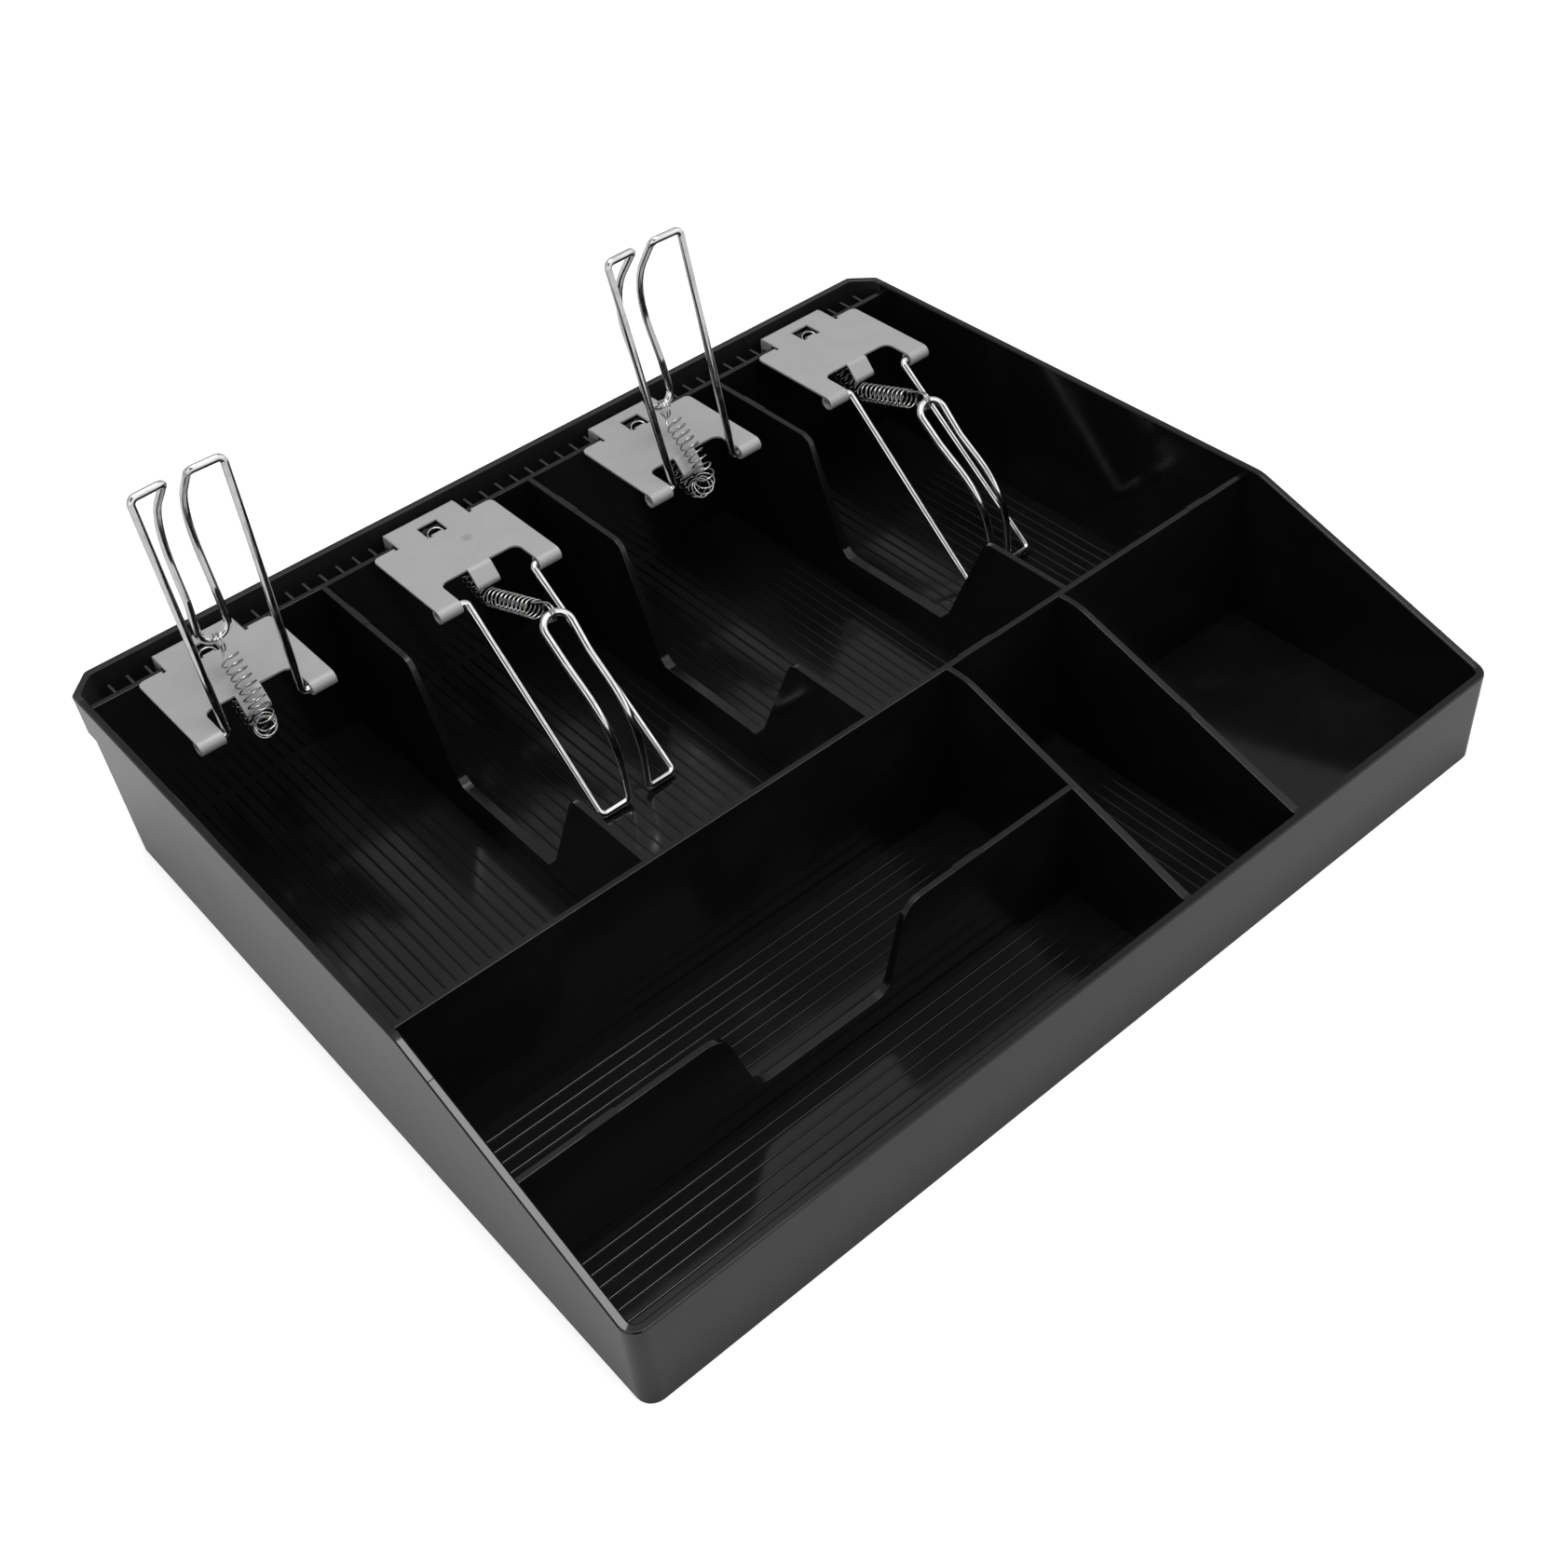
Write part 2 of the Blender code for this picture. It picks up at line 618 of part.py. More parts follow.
def bracket_mesh():
    """The folded bracket about the middle of its clip, with barrels, tongue, tab and lug."""
    levels = (SHEET_MIDDLE - SHEET / 2, SHEET_MIDDLE + SHEET / 2)
    outline = plate_outline()
    loops = [[Vector((point.x, point.y, level)) for point in outline] for level in levels]
    plate = add_object("plate", loft("plate", loops))
    half = PLATE_WIDTH / 2
    leg_root = Vector((HINGE_Y + LEG_NOTCH_RADIUS, SHEET_MIDDLE))
    barrel = (
        ("flat", LEG_NOTCH_RADIUS),
        ("bend", BARREL_MIDDLE, BARREL_WRAP_DEG, BARREL_STEP_DEG),
    )
    for low, high in ((-half, LEG_WIDTH - half), (half - LEG_WIDTH, half)):
        combine(plate, strip(bent_line(leg_root, 180, barrel)[0], low, high), "UNION")
    combine(plate, strip(tongue_line()[0], -TONGUE_WIDTH / 2, TONGUE_WIDTH / 2), "UNION")
    tab_root = Vector((WALL_FACE, SHEET_MIDDLE))
    tab = (
        ("flat", INNER_WALL_THICKNESS + TAB_REACH - TAB_BEND_RADIUS - SHEET / 2),
        ("bend", TAB_BEND_RADIUS, -90, BARREL_STEP_DEG),
        ("flat", TAB_DROP),
    )
    combine(plate, strip(bent_line(tab_root, 0, tab)[0], -TAB_WIDTH / 2, TAB_WIDTH / 2), "UNION")
    hole_low = (-HOLE_WIDTH / 2, HOLE_FRONT, levels[0] - SHEET)
    hole_high = (HOLE_WIDTH / 2, HOLE_FRONT + HOLE_LENGTH, levels[1] + SHEET)
    combine(plate, box(hole_low, hole_high), "DIFFERENCE")
    lug_root = Vector((HOLE_FRONT - SHEET, SHEET_MIDDLE))
    lug = (
        ("flat", SHEET + SEAT_GAP),
        ("bend", LUG_BEND_RADIUS, -LUG_ANGLE_DEG, BARREL_STEP_DEG),
        ("flat", LUG_LENGTH),
    )
    combine(plate, strip(bent_line(lug_root, 0, lug)[0], -LUG_WIDTH / 2, LUG_WIDTH / 2), "UNION")
    mesh = plate.data
    bpy.data.objects.remove(plate)
    tidy(mesh)
    return mesh


def bail_points(lean, bend):
    """Middle line of the bail wire about its hinge: (across, along the arm, behind the arm)."""
    pin_end = PLATE_WIDTH / 2 - PIN_END_INSET
    shoulder = BAIL_LENGTH - SHOULDER_FROM_TIP
    half = [
        (pin_end, 0, 0, 0),
        (HINGE_HALF_SPREAD, 0, 0, PIN_BEND_RADIUS),
        (TIP_HALF_SPREAD, BAIL_LENGTH, 0, TOE_BEND_RADIUS),
        (TOE_HALF_GAP, BAIL_LENGTH, TOE_RISE, TOE_BEND_RADIUS),
        (SHOULDER_HALF_GAP, shoulder, SHOULDER_RISE, SHOULDER_RADIUS),
        (NECK_HALF_GAP, NECK_FROM_HINGE, NECK_RISE, NECK_RADIUS),
        (LOOP_HALF_WIDTH, LOOP_FROM_HINGE, LOOP_RISE, LOOP_RADIUS),
    ]
    whole = half + [(-x, along, rise, radius) for x, along, rise, radius in reversed(half)]
    corners = []
    for x, along, rise, radius in whole:
        bent = bend if rise > TOE_RISE else 0
        sideways = bent * (BAIL_LENGTH - along) / (BAIL_LENGTH - LOOP_FROM_HINGE)
        corners.append(Vector((x + sideways + lean * along / BAIL_LENGTH, along, -rise)))
    return rounded(corners, [radius for x, along, rise, radius in whole])


def tube(name, points, diameter, sides_resolution, material):
    """A round wire along a polyline, with closed ends."""
    curve = bpy.data.curves.new(name, "CURVE")
    curve.dimensions = "3D"
    curve.bevel_depth = diameter / 2
    curve.bevel_resolution = sides_resolution
    curve.use_fill_caps = True
    spline = curve.splines.new("POLY")
    spline.points.add(len(points) - 1)
    for knot, point in zip(spline.points, points):
        knot.co = (*point, 1)
    return add_object(name, curve, material)


def lowered_angle():
    """The arm's angle, from the rear upwards, at which its toes rest just above the floor."""
    toe_height = FLOOR_TOP + SEAT_GAP + WIRE / 2
    return math.pi + math.asin((HINGE_Z - toe_height) / BAIL_LENGTH)


def belt_route(stations):
    """Arcs and tangents of a belt that passes over round stations, each turned the same way."""
    meets = []
    for (first, near), (second, far) in zip(stations, stations[1:]):
        gap = second - first
        meets.append(math.atan2(gap.y, gap.x) - math.acos((near - far) / gap.length))
    route = [stations[0][0]]
    for index in range(1, len(stations) - 1):
        centre, radius = stations[index]
        arrive = meets[index - 1]
        swept = (meets[index] - arrive) % (2 * math.pi)
        pieces = max(2, math.ceil(math.degrees(swept) / ARC_STEP_DEG)) * 2
        for piece in range(pieces + 1):
            angle = arrive + swept * piece / pieces
            route.append(centre + radius * Vector((math.cos(angle), math.sin(angle))))
    route.append(stations[-1][0])
    return route


def along_route(route, distance):
    """Place and direction at a distance along a polyline."""
    for low, high in zip(route, route[1:]):
        length = (high - low).length
        if distance <= length or high is route[-1]:
            direction = (high - low).normalized()
            return low + direction * distance, direction
        distance -= length


def eased(start, leave, end, arrive, count):
    """Points of a smooth bend between two places with given directions, ends left out."""
    points = []
    for index in range(1, count):
        t = index / count
        first = (2 * t**3 - 3 * t**2 + 1) * start + (t**3 - 2 * t**2 + t) * leave
        second = (3 * t**2 - 2 * t**3) * end + (t**3 - t**2) * arrive
        points.append(first + second)
    return points


def spring_points(angle, lean, bend, slip, sag):
    """Middle line of a spring about its clip: hook on the bail's loop, coil, eye on the lug."""
    arm = Vector((math.cos(angle), math.sin(angle)))
    behind = Vector((math.sin(angle), -math.cos(angle)))
    hinge = Vector((HINGE_Y, HINGE_Z))
    loop = hinge + LOOP_FROM_HINGE * arm + LOOP_RISE * behind
    root, tip = tongue_line()[1]
    root_radius = TONGUE_BEND_RADIUS + SHEET / 2 + SPRING_GAP + COIL_OUTER
    tip_radius = TONGUE_CURL_RADIUS + SHEET / 2 + SPRING_GAP + COIL_OUTER + sag
    under_plate = SHEET_MIDDLE - SHEET / 2 - COIL_BELOW_PLATE
    end = Vector((HOLE_FRONT - COIL_STOPS_BEFORE_HOLE, under_plate))
    stations = [(loop, 0), (tip, tip_radius), (end, 0)]
    if angle < math.pi / 2:
        stations.insert(1, (root, root_radius))
    route = belt_route(stations)
    lengths = [(high - low).length for low, high in zip(route, route[1:])]
    length = sum(lengths)
    past_tongue = length - lengths[-1]
    shift = bend + lean * LOOP_FROM_HINGE / BAIL_LENGTH

    def sideways(distance):
        """Sideways place of the coil's axis: at the loop, on the tongue, and at the hole."""
        if distance < past_tongue:
            return shift + (slip - shift) * distance / past_tongue
        return slip * (length - distance) / lengths[-1]

    def placed(place, across):
        return Vector((across, place.x, place.y))

    ahead = along_route(route, 0)[1]
    side = Vector((-ahead.y, ahead.x))
    hook_radius = WIRE / 2 + HOOK_CLEARANCE + SPRING_WIRE / 2
    hook = []
    hook_steps = math.ceil(HOOK_TURNS * (POINTS_PER_TURN + 2))
    for index in range(hook_steps + 1):
        turn = 2 * math.pi * HOOK_TURNS * (index / hook_steps - 1)
        place = loop + hook_radius * (math.cos(turn) * side + math.sin(turn) * ahead)
        across = shift + HOOK_PITCH * (turn / (2 * math.pi) + HOOK_TURNS / 2)
        hook.append(placed(place, across))
    coil = []
    steps = COIL_TURNS * POINTS_PER_TURN + round(POINTS_PER_TURN * 3 / 4)
    for index in range(steps + 1):
        share = index / steps
        distance = COIL_START + (length - COIL_START) * share
        place, direction = along_route(route, distance)
        normal = Vector((-direction.y, direction.x))
        phase = 2 * math.pi * index / POINTS_PER_TURN
        across = sideways(distance) + COIL_RADIUS * math.sin(phase)
        coil.append(placed(place + COIL_RADIUS * math.cos(phase) * normal, across))
    tilt = math.radians(EYE_TILT_DEG)
    rearward = Vector((0, math.cos(tilt), math.sin(tilt)))
    eye_rear = Vector((0, HOLE_FRONT + EYE_REAR_IN_HOLE, SHEET_MIDDLE))
    eye_centre = eye_rear - EYE_RADIUS * rearward
    eye = []
    eye_steps = math.ceil(EYE_TURN_DEG / 360 * (POINTS_PER_TURN + 4))
    for index in range(eye_steps + 1):
        turn = math.radians(EYE_TURN_DEG) * index / eye_steps
        eye.append(eye_centre + EYE_RADIUS * (math.sin(turn) * rearward - math.cos(turn) * Vector((1, 0, 0))))
    leave_hook = placed(ahead, 0) * COIL_START
    into_coil = (coil[1] - coil[0]).normalized() * COIL_START
    leave_coil = (coil[-1] - coil[-2]).normalized() * COIL_STOPS_BEFORE_HOLE
    into_eye = rearward * COIL_STOPS_BEFORE_HOLE
    first_bend = eased(hook[-1], leave_hook, coil[0], into_coil, 4)
    second_bend = eased(coil[-1], leave_coil, eye[0], into_eye, 4)
    start_tail = hook[0] - (hook[1] - hook[0]).normalized() * SPRING_WIRE
    end_tail = eye[-1] + (eye[-1] - eye[-2]).normalized() * SPRING_WIRE
    return [start_tail, *hook, *first_bend, *coil, *second_bend, *eye, end_tail]


def segment_distance(a, b, c, d):
    """Least distance between two segments, sampled along both."""
    samples = (0, 0.25, 0.5, 0.75, 1)
    return min((a.lerp(b, s) - c.lerp(d, t)).length for s in samples for t in samples)


def least_gap(points, apart):
    """Least clear gap of a wire to itself, between stretches that lie apart along it."""
    least = 1.0
    for first in range(len(points) - 1):
        for second in range(first + apart, len(points) - 1):
            if (points[first] - points[second]).length > 3 * SPRING_WIRE + 2 * COIL_RADIUS * 0.5:
                continue
            reach = segment_distance(points[first], points[first + 1], points[second], points[second + 1])
            least = min(least, reach)
    return least - SPRING_WIRE


def clip_places():
    """Middle of each clip across the tray."""
    inner_face = HALF_WIDTH - WALL
    edges = [-inner_face, -NOTE_DIVIDER_PITCH, 0, NOTE_DIVIDER_PITCH, inner_face]
    return [(low + high) / 2 + offset for low, high, offset in zip(edges, edges[1:], CLIP_OFFSET)]


def build():
    """Clear the scene and make the tray and its four clips."""
    for thing in list(bpy.data.objects):
        bpy.data.objects.remove(thing)
    plastic = make_material("black_moulded_plastic", (0.018, 0.018, 0.019), 0.55, 0.0)
    plated = make_material("satin_plated_steel", (0.46, 0.46, 0.45), 0.42, 1.0)
    chrome = make_material("bright_steel_wire", (0.72, 0.72, 0.72), 0.18, 1.0)
    music = make_material("spring_steel_wire", (0.55, 0.55, 0.54), 0.28, 1.0)
    make_tray(plastic)
    folded = bracket_mesh()
    for index, centre in enumerate(clip_places()):
        number = index + 1
        bracket = add_object(f"clip_bracket_{number}", folded, plated)
        bracket.location.x = centre
        raised = RAISED_ANGLE_DEG[index]
        angle = math.radians(raised) if raised else lowered_angle()
        lean = BAIL_LEAN[index]
        bend = LOOP_BEND[index]
        bail = tube(f"bail_wire_{number}", bail_points(lean, bend), WIRE, 2, chrome)
        bail.location = (centre + PIN_PLAY[index], HINGE_Y, HINGE_Z)
        bail.rotation_euler.x = angle
        coil = spring_points(angle, lean, bend + PIN_PLAY[index], SPRING_SLIP[index], SPRING_SAG[index])
        spring = tube(f"bail_spring_{number}", coil, SPRING_WIRE, 1, music)
        spring.location.x = centre
        gap = least_gap(coil, POINTS_PER_TURN // 2)
        verdict = "above" if gap > LEAST_TURN_GAP else "BELOW"
        print(f"spring {number}: least gap to itself {gap * 1000:.2f} mm, {verdict} the least allowed")


build()
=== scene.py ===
# The tray as it stands on its table. The sections follow the order in which the real one is put
# together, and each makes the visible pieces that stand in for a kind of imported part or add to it.

import json
import math

import bmesh
import bpy
from mathutils import Matrix, Vector


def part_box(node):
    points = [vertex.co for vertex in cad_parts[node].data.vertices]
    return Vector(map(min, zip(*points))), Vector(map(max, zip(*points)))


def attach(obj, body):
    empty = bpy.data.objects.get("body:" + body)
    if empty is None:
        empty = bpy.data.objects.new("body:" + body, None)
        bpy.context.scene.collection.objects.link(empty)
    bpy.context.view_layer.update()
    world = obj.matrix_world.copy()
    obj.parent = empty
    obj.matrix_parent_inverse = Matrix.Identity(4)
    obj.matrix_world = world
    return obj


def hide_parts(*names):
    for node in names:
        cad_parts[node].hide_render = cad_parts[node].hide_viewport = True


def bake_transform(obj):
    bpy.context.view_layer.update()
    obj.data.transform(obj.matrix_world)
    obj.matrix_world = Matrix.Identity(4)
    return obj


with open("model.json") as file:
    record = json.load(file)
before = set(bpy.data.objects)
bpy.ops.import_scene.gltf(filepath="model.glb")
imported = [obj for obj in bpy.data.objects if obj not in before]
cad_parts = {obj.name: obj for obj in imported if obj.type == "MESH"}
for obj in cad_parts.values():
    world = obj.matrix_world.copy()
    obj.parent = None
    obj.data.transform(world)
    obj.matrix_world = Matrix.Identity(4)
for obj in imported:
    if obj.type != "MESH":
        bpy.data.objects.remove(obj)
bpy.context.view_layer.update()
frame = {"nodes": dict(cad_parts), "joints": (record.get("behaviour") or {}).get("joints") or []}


# The tray is one injection moulding in black plastic. Its walls lean out a little so that it
# leaves the mould, every free edge is slightly rounded, and the walls stand on a narrow foot.
# The plastic is satin outside and polished enough inside to mirror what lies on the floor.
TRAY_BLACK = (0.0042, 0.0042, 0.0044, 1.0)
TRAY_WORN_BLACK = (0.0070, 0.0070, 0.0073, 1.0)
# The trough behind the inner wall is given a paler black.
TROUGH_PALER_BLACK = (0.012, 0.012, 0.012, 1.0)
# Painted highlight: the gusset tops in the trough are painted paler near the inner wall, standing in for
# the sky mirrored on them.
GUSSET_HIGHLIGHT_BLACK = (0.024, 0.024, 0.024, 1.0)
TRAY_EDGE_RADIUS = 0.00020
TRAY_EDGE_SEGMENTS = 3
TRAY_LEAST_EDGE_TURN = math.radians(32)
TRAY_SQUARE_EDGE_TURN = math.radians(60)
TRAY_CHAMFER_SHARE = 0.45
TRAY_FOOT_BAND = 0.0005
TROUGH_START = 0.1283
TROUGH_PALER_FULL = TROUGH_START + 0.0002
HIGHLIGHT_FADE_START = TROUGH_START + 0.0020
HIGHLIGHT_FADE_END = TROUGH_START + 0.0075
GUSSET_TOPS = 0.0570
GUSSET_LEVEL = 0.0590
HIGHLIGHT_LEVEL_START = GUSSET_LEVEL - 0.0004
HIGHLIGHT_LEVEL_FULL = GUSSET_LEVEL - 0.0001
GUSSET_FRONT = TROUGH_START - 0.0003
GUSSET_REAR = TROUGH_START + 0.003
GUSSET_HIGHEST = GUSSET_LEVEL + 0.0002
GUSSET_LONGEST_EDGE = 0.012
GUSSET_EDGE_SHARE = 0.5
GUSSET_CUT_LEVEL = 0.0561
TAB_HALF_WIDTH = 0.0138
TAB_END_REACH = 0.0011
CLIP_BOXES = [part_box(f"clip_bracket_{number}") for number in range(1, 5)]
CLIP_MIDDLES = [(box[0].x + box[1].x) / 2 for box in CLIP_BOXES]
TAB_ENDS = [middle + side * TAB_HALF_WIDTH for middle in CLIP_MIDDLES for side in (-1, 1)]
MERGE_DISTANCE = 2e-6
SAME_PLACE = 1e-5
FLAT_TURN = math.radians(0.2)
ROUNDING_REACH = math.radians(50)
FLAT_PULL = 3


class Signal:
    """What a shader node gives out. Sums on a number that varies are written as in Python."""

    def __init__(self, finish, socket):
        self.finish = finish
        self.socket = socket

    def sum(self, operation, first, second):
        return self.finish.node("ShaderNodeMath", {"operation": operation}, {0: first, 1: second})

    def __add__(self, other):
        return self.sum("ADD", self, other)

    def __radd__(self, other):
        return self.sum("ADD", other, self)

    def __sub__(self, other):
        return self.sum("SUBTRACT", self, other)

    def __rsub__(self, other):
        return self.sum("SUBTRACT", other, self)

    def __mul__(self, other):
        return self.sum("MULTIPLY", self, other)

    def __rmul__(self, other):
        return self.sum("MULTIPLY", other, self)


class Finish:
    """The shader of a material or of the room's light, and the nodes that vary it."""

    def __init__(self, holder, shader="Principled BSDF"):
        holder.use_nodes = True
        self.holder = holder
        self.tree = holder.node_tree
        self.shader = self.tree.nodes[shader]
        self.place = self.node("ShaderNodeTexCoord", {}, {}, "Object")

    def node(self, kind, settings, sockets, output=0):
        """Add a node, with its settings first and then the values or links of its sockets."""
        made = self.tree.nodes.new(kind)
        for name, value in settings.items():
            if name == "stops":
                while len(made.color_ramp.elements) < len(value):
                    made.color_ramp.elements.new(1.0)
                for element, (position, level) in zip(made.color_ramp.elements, value):
                    element.position = position
                    element.color = (level, level, level, 1.0)
            else:
                setattr(made, name, value)
        for name, value in sockets.items():
            self.feed(made.inputs[name], value)
        return Signal(self, made.outputs[output])

    def feed(self, socket, value):
        """Set a socket to a plain value or link a signal to it."""
        if isinstance(value, Signal):
            self.tree.links.new(value.socket, socket)
        else:
            socket.default_value = value

    def set(self, **sockets):
        """Feed the Principled shader, with underscores for the spaces in its sockets' names."""
        for name, value in sockets.items():
            self.feed(self.shader.inputs[name.replace("_", " ")], value)

    def noise(self, scale, detail, roughness):
        sockets = {"Vector": self.place, "Scale": scale, "Detail": detail, "Roughness": roughness}
        return self.node("ShaderNodeTexNoise", {}, sockets)

    def between(self, low, high, signal):
        """A signal remapped so that low becomes 0 and high becomes 1, and held there."""
        sockets = {"Value": signal, "From Min": low, "From Max": high}
        return self.node("ShaderNodeMapRange", {"clamp": True}, sockets)

    def colours(self, first, second, share):
        """One colour where the share is 0 and the other where it is 1."""
        return self.node("ShaderNodeMix", {"data_type": "RGBA"}, {0: share, 6: first, 7: second}, 2)

    def bump(self, height, strength, distance):
        sockets = {"Height": height, "Strength": strength, "Distance": distance}
        return self.node("ShaderNodeBump", {}, sockets)


def tray_plastic():
    """Black plastic with fine grain, faint flow marks, rubbed patches, a paler trough and painted
    highlights on the gusset tops.
    """
    finish = Finish(bpy.data.materials.new("black_tray_plastic"))
    grain = finish.noise(2600.0, 3.0, 0.65)
    flow = finish.noise(14.0, 3.0, 0.55)
    rubbed = finish.between(0.52, 0.72, finish.noise(38.0, 5.0, 0.6))
    depth = finish.node("ShaderNodeSeparateXYZ", {}, {"Vector": finish.place}, "Y")
    level = finish.node("ShaderNodeSeparateXYZ", {}, {"Vector": finish.place}, "Z")
    behind_wall = finish.between(TROUGH_START, TROUGH_PALER_FULL, depth)
    near_wall = 1.0 - finish.between(HIGHLIGHT_FADE_START, HIGHLIGHT_FADE_END, depth)
    on_top = finish.between(HIGHLIGHT_LEVEL_START, HIGHLIGHT_LEVEL_FULL, level)
    plastic = finish.colours(TRAY_BLACK, TRAY_WORN_BLACK, rubbed)
    paler_trough = finish.colours(plastic, TROUGH_PALER_BLACK, behind_wall)
    finish.set(
        # Painted highlight on the gusset tops near the inner wall.
        Base_Color=finish.colours(paler_trough, GUSSET_HIGHLIGHT_BLACK, behind_wall * near_wall * on_top),
        Roughness=0.10 + 0.03 * flow + 0.05 * rubbed + 0.02 * grain,
        Normal=finish.bump(grain, 0.08, 0.00005),
        IOR=1.46,
    )
    return finish.holder


def keep_flats(mesh):
    """Shade each flat face by its own normal, and turn the normal only over the roundings."""
    around = [[] for vertex in mesh.vertices]
    widths = []
    for face in mesh.polygons:
        outline = [mesh.vertices[index].co for index in face.vertices]
        sides = zip(outline, outline[1:] + outline[:1])
        widths.append(face.area / sum((far - near).length for near, far in sides))
        for index in face.vertices:
            around[index].append(face)
    normals = []
    for face in mesh.polygons:
        for index in face.vertices:
            total = Vector()
            for near in around[index]:
                if near.normal.dot(face.normal) > math.cos(ROUNDING_REACH):
                    total += near.normal * (widths[near.index] / widths[face.index]) ** FLAT_PULL
            normals.append(total.normalized())
    mesh.normals_split_custom_set(normals)


def new_object(name, data):
    """A new object in the scene, at the origin."""
    made = bpy.data.objects.new(name, data)
    bpy.context.scene.collection.objects.link(made)
    return made


def rounded_copy(name, node, radius, segments, weigh, trim):
    """A CAD solid, merged and trimmed, with each edge rounded by the share that weigh gives."""
    mesh = frame["nodes"][node].data.copy()
    mesh.name = name
    form = bmesh.new()
    form.from_mesh(mesh)
    bmesh.ops.remove_doubles(form, verts=form.verts, dist=MERGE_DISTANCE)
    bmesh.ops.dissolve_limit(form, angle_limit=FLAT_TURN, verts=form.verts, edges=form.edges)
    trim(form)
    weights = form.edges.layers.float.new("bevel_weight_edge")
    for edge in form.edges:
        if len(edge.link_faces) == 2:
            edge[weights] = weigh(edge) if edge.is_convex else 0.0
    for face in form.faces:
        face.smooth = True
    form.to_mesh(mesh)
    form.free()
    mesh.materials.clear()
    piece = new_object(name, mesh)
    bevel = piece.modifiers.new("edges", "BEVEL")
    bevel.limit_method = "WEIGHT"
    bevel.width = radius
    bevel.segments = segments
    bevel.use_clamp_overlap = False
    bevel.miter_outer = "MITER_ARC"
    graph = bpy.context.evaluated_depsgraph_get()
    piece.data = bpy.data.meshes.new_from_object(piece.evaluated_get(graph))
    piece.modifiers.clear()
    keep_flats(piece.data)
    return piece


def tray_edge_share(edge):
    """Square free edges are rounded in full, a rim's chamfer and the gussets' tops about half."""
    turn = edge.calc_face_angle(0)
    first, second = (vertex.co for vertex in edge.verts)
    middle = (first + second) / 2
    if turn < TRAY_LEAST_EDGE_TURN or middle.z < TRAY_FOOT_BAND:
        return 0.0
    if middle.y > TROUGH_START and edge.calc_length() < GUSSET_LONGEST_EDGE:
        runs_rearward = abs(first.x - second.x) < SAME_PLACE
        return GUSSET_EDGE_SHARE if middle.z > GUSSET_TOPS and runs_rearward else 0.0
    return 1.0 if turn > TRAY_SQUARE_EDGE_TURN else TRAY_CHAMFER_SHARE


def level_gussets(form):
    """Level the tops of the trough's gussets, and cut them lower under the brackets' tab ends."""
    for vertex in form.verts:
        place = vertex.co
        if place.y < GUSSET_FRONT or not GUSSET_TOPS < place.z < GUSSET_HIGHEST:
            continue
        if min(abs(place.x - end) for end in TAB_ENDS) < TAB_END_REACH:
            place.z = GUSSET_CUT_LEVEL
        elif place.y > GUSSET_REAR:
            place.z = GUSSET_LEVEL


tray_black = tray_plastic()
tray = rounded_copy(
    "moulded_tray",
    "tray_body",
    TRAY_EDGE_RADIUS,
    TRAY_EDGE_SEGMENTS,
    tray_edge_share,
    level_gussets,
)
tray.data.materials.append(tray_black)
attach(tray, "tray")
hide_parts("tray_body")


# Fine ribs are moulded on the floors so that notes and coins slide up more easily. They run
# from front to rear in the note bays and the narrow coin bay, and across in the long coin bays.
FLOOR_LEVEL = 0.0046
RIB_WIDTH = 0.00090
RIB_SIDES = 10
RIB_SINK = 0.08
NOTE_RIB_PITCH = 0.00405
NOTE_BAY_DEPTH = (-0.0420, 0.1232)
NOTE_RIB_LINES = ((-0.1559, -0.0872), (-0.0750, -0.0060), (0.0060, 0.0750), (0.0872, 0.1559))
COIN_RIB_PITCH = 0.00425
LONG_BAY_WIDTH = (-0.1600, 0.0280)
REAR_COIN_RIB_LINES = (-0.0885, -0.0488)
FRONT_COIN_RIB_LINES = (-0.1330, -0.0996)
NARROW_RIB_PITCH = 0.00400
NARROW_BAY_DEPTH = (-0.1360, -0.0460)
NARROW_RIB_LINES = (0.0362, 0.0722)


def add_node(tree, kind, settings=None, **sockets):
    """Add a node to a Geometry Nodes tree, with its settings and its sockets' values or links."""
    made = tree.nodes.new(kind)
    for name, value in (settings or {}).items():
        setattr(made, name, value)
    for name, value in sockets.items():
        socket = made.inputs[name.replace("_", " ")]
        if isinstance(value, bpy.types.NodeSocket):
            tree.links.new(value, socket)
        else:
            socket.default_value = value
    return made


def start_tree(name, inputs):
    """A Geometry Nodes tree with named inputs, and its group input and output nodes."""
    tree = bpy.data.node_groups.new(name, "GeometryNodeTree")
    tree.interface.new_socket("Geometry", in_out="OUTPUT", socket_type="NodeSocketGeometry")
    tree.interface.new_socket("Geometry", in_out="INPUT", socket_type="NodeSocketGeometry")
    for label, kind in inputs:
        tree.interface.new_socket(label, in_out="INPUT", socket_type=kind)
    return tree, tree.nodes.new("NodeGroupInput"), tree.nodes.new("NodeGroupOutput")


def grown(piece, tree, values):
    """Run a tree on an object with the given inputs, and keep the result as a plain mesh."""
    modifier = piece.modifiers.new("grow", "NODES")
    modifier.node_group = tree
    for item in tree.interface.items_tree:
        if item.in_out == "INPUT" and item.name in values:
            modifier[item.identifier] = values[item.name]
    graph = bpy.context.evaluated_depsgraph_get()
    mesh = bpy.data.meshes.new_from_object(piece.evaluated_get(graph))
    mesh.name = piece.name
    return mesh


def round_section(tree, width, sides):
    """A circle as wide as a rod or a wire, for it to be drawn along a line."""
    half = add_node(tree, "ShaderNodeMath", {"operation": "MULTIPLY"})
    tree.links.new(width, half.inputs[0])
    half.inputs[1].default_value = 0.5
    circle = "GeometryNodeCurvePrimitiveCircle"
    return add_node(tree, circle, Resolution=sides, Radius=half.outputs[0])


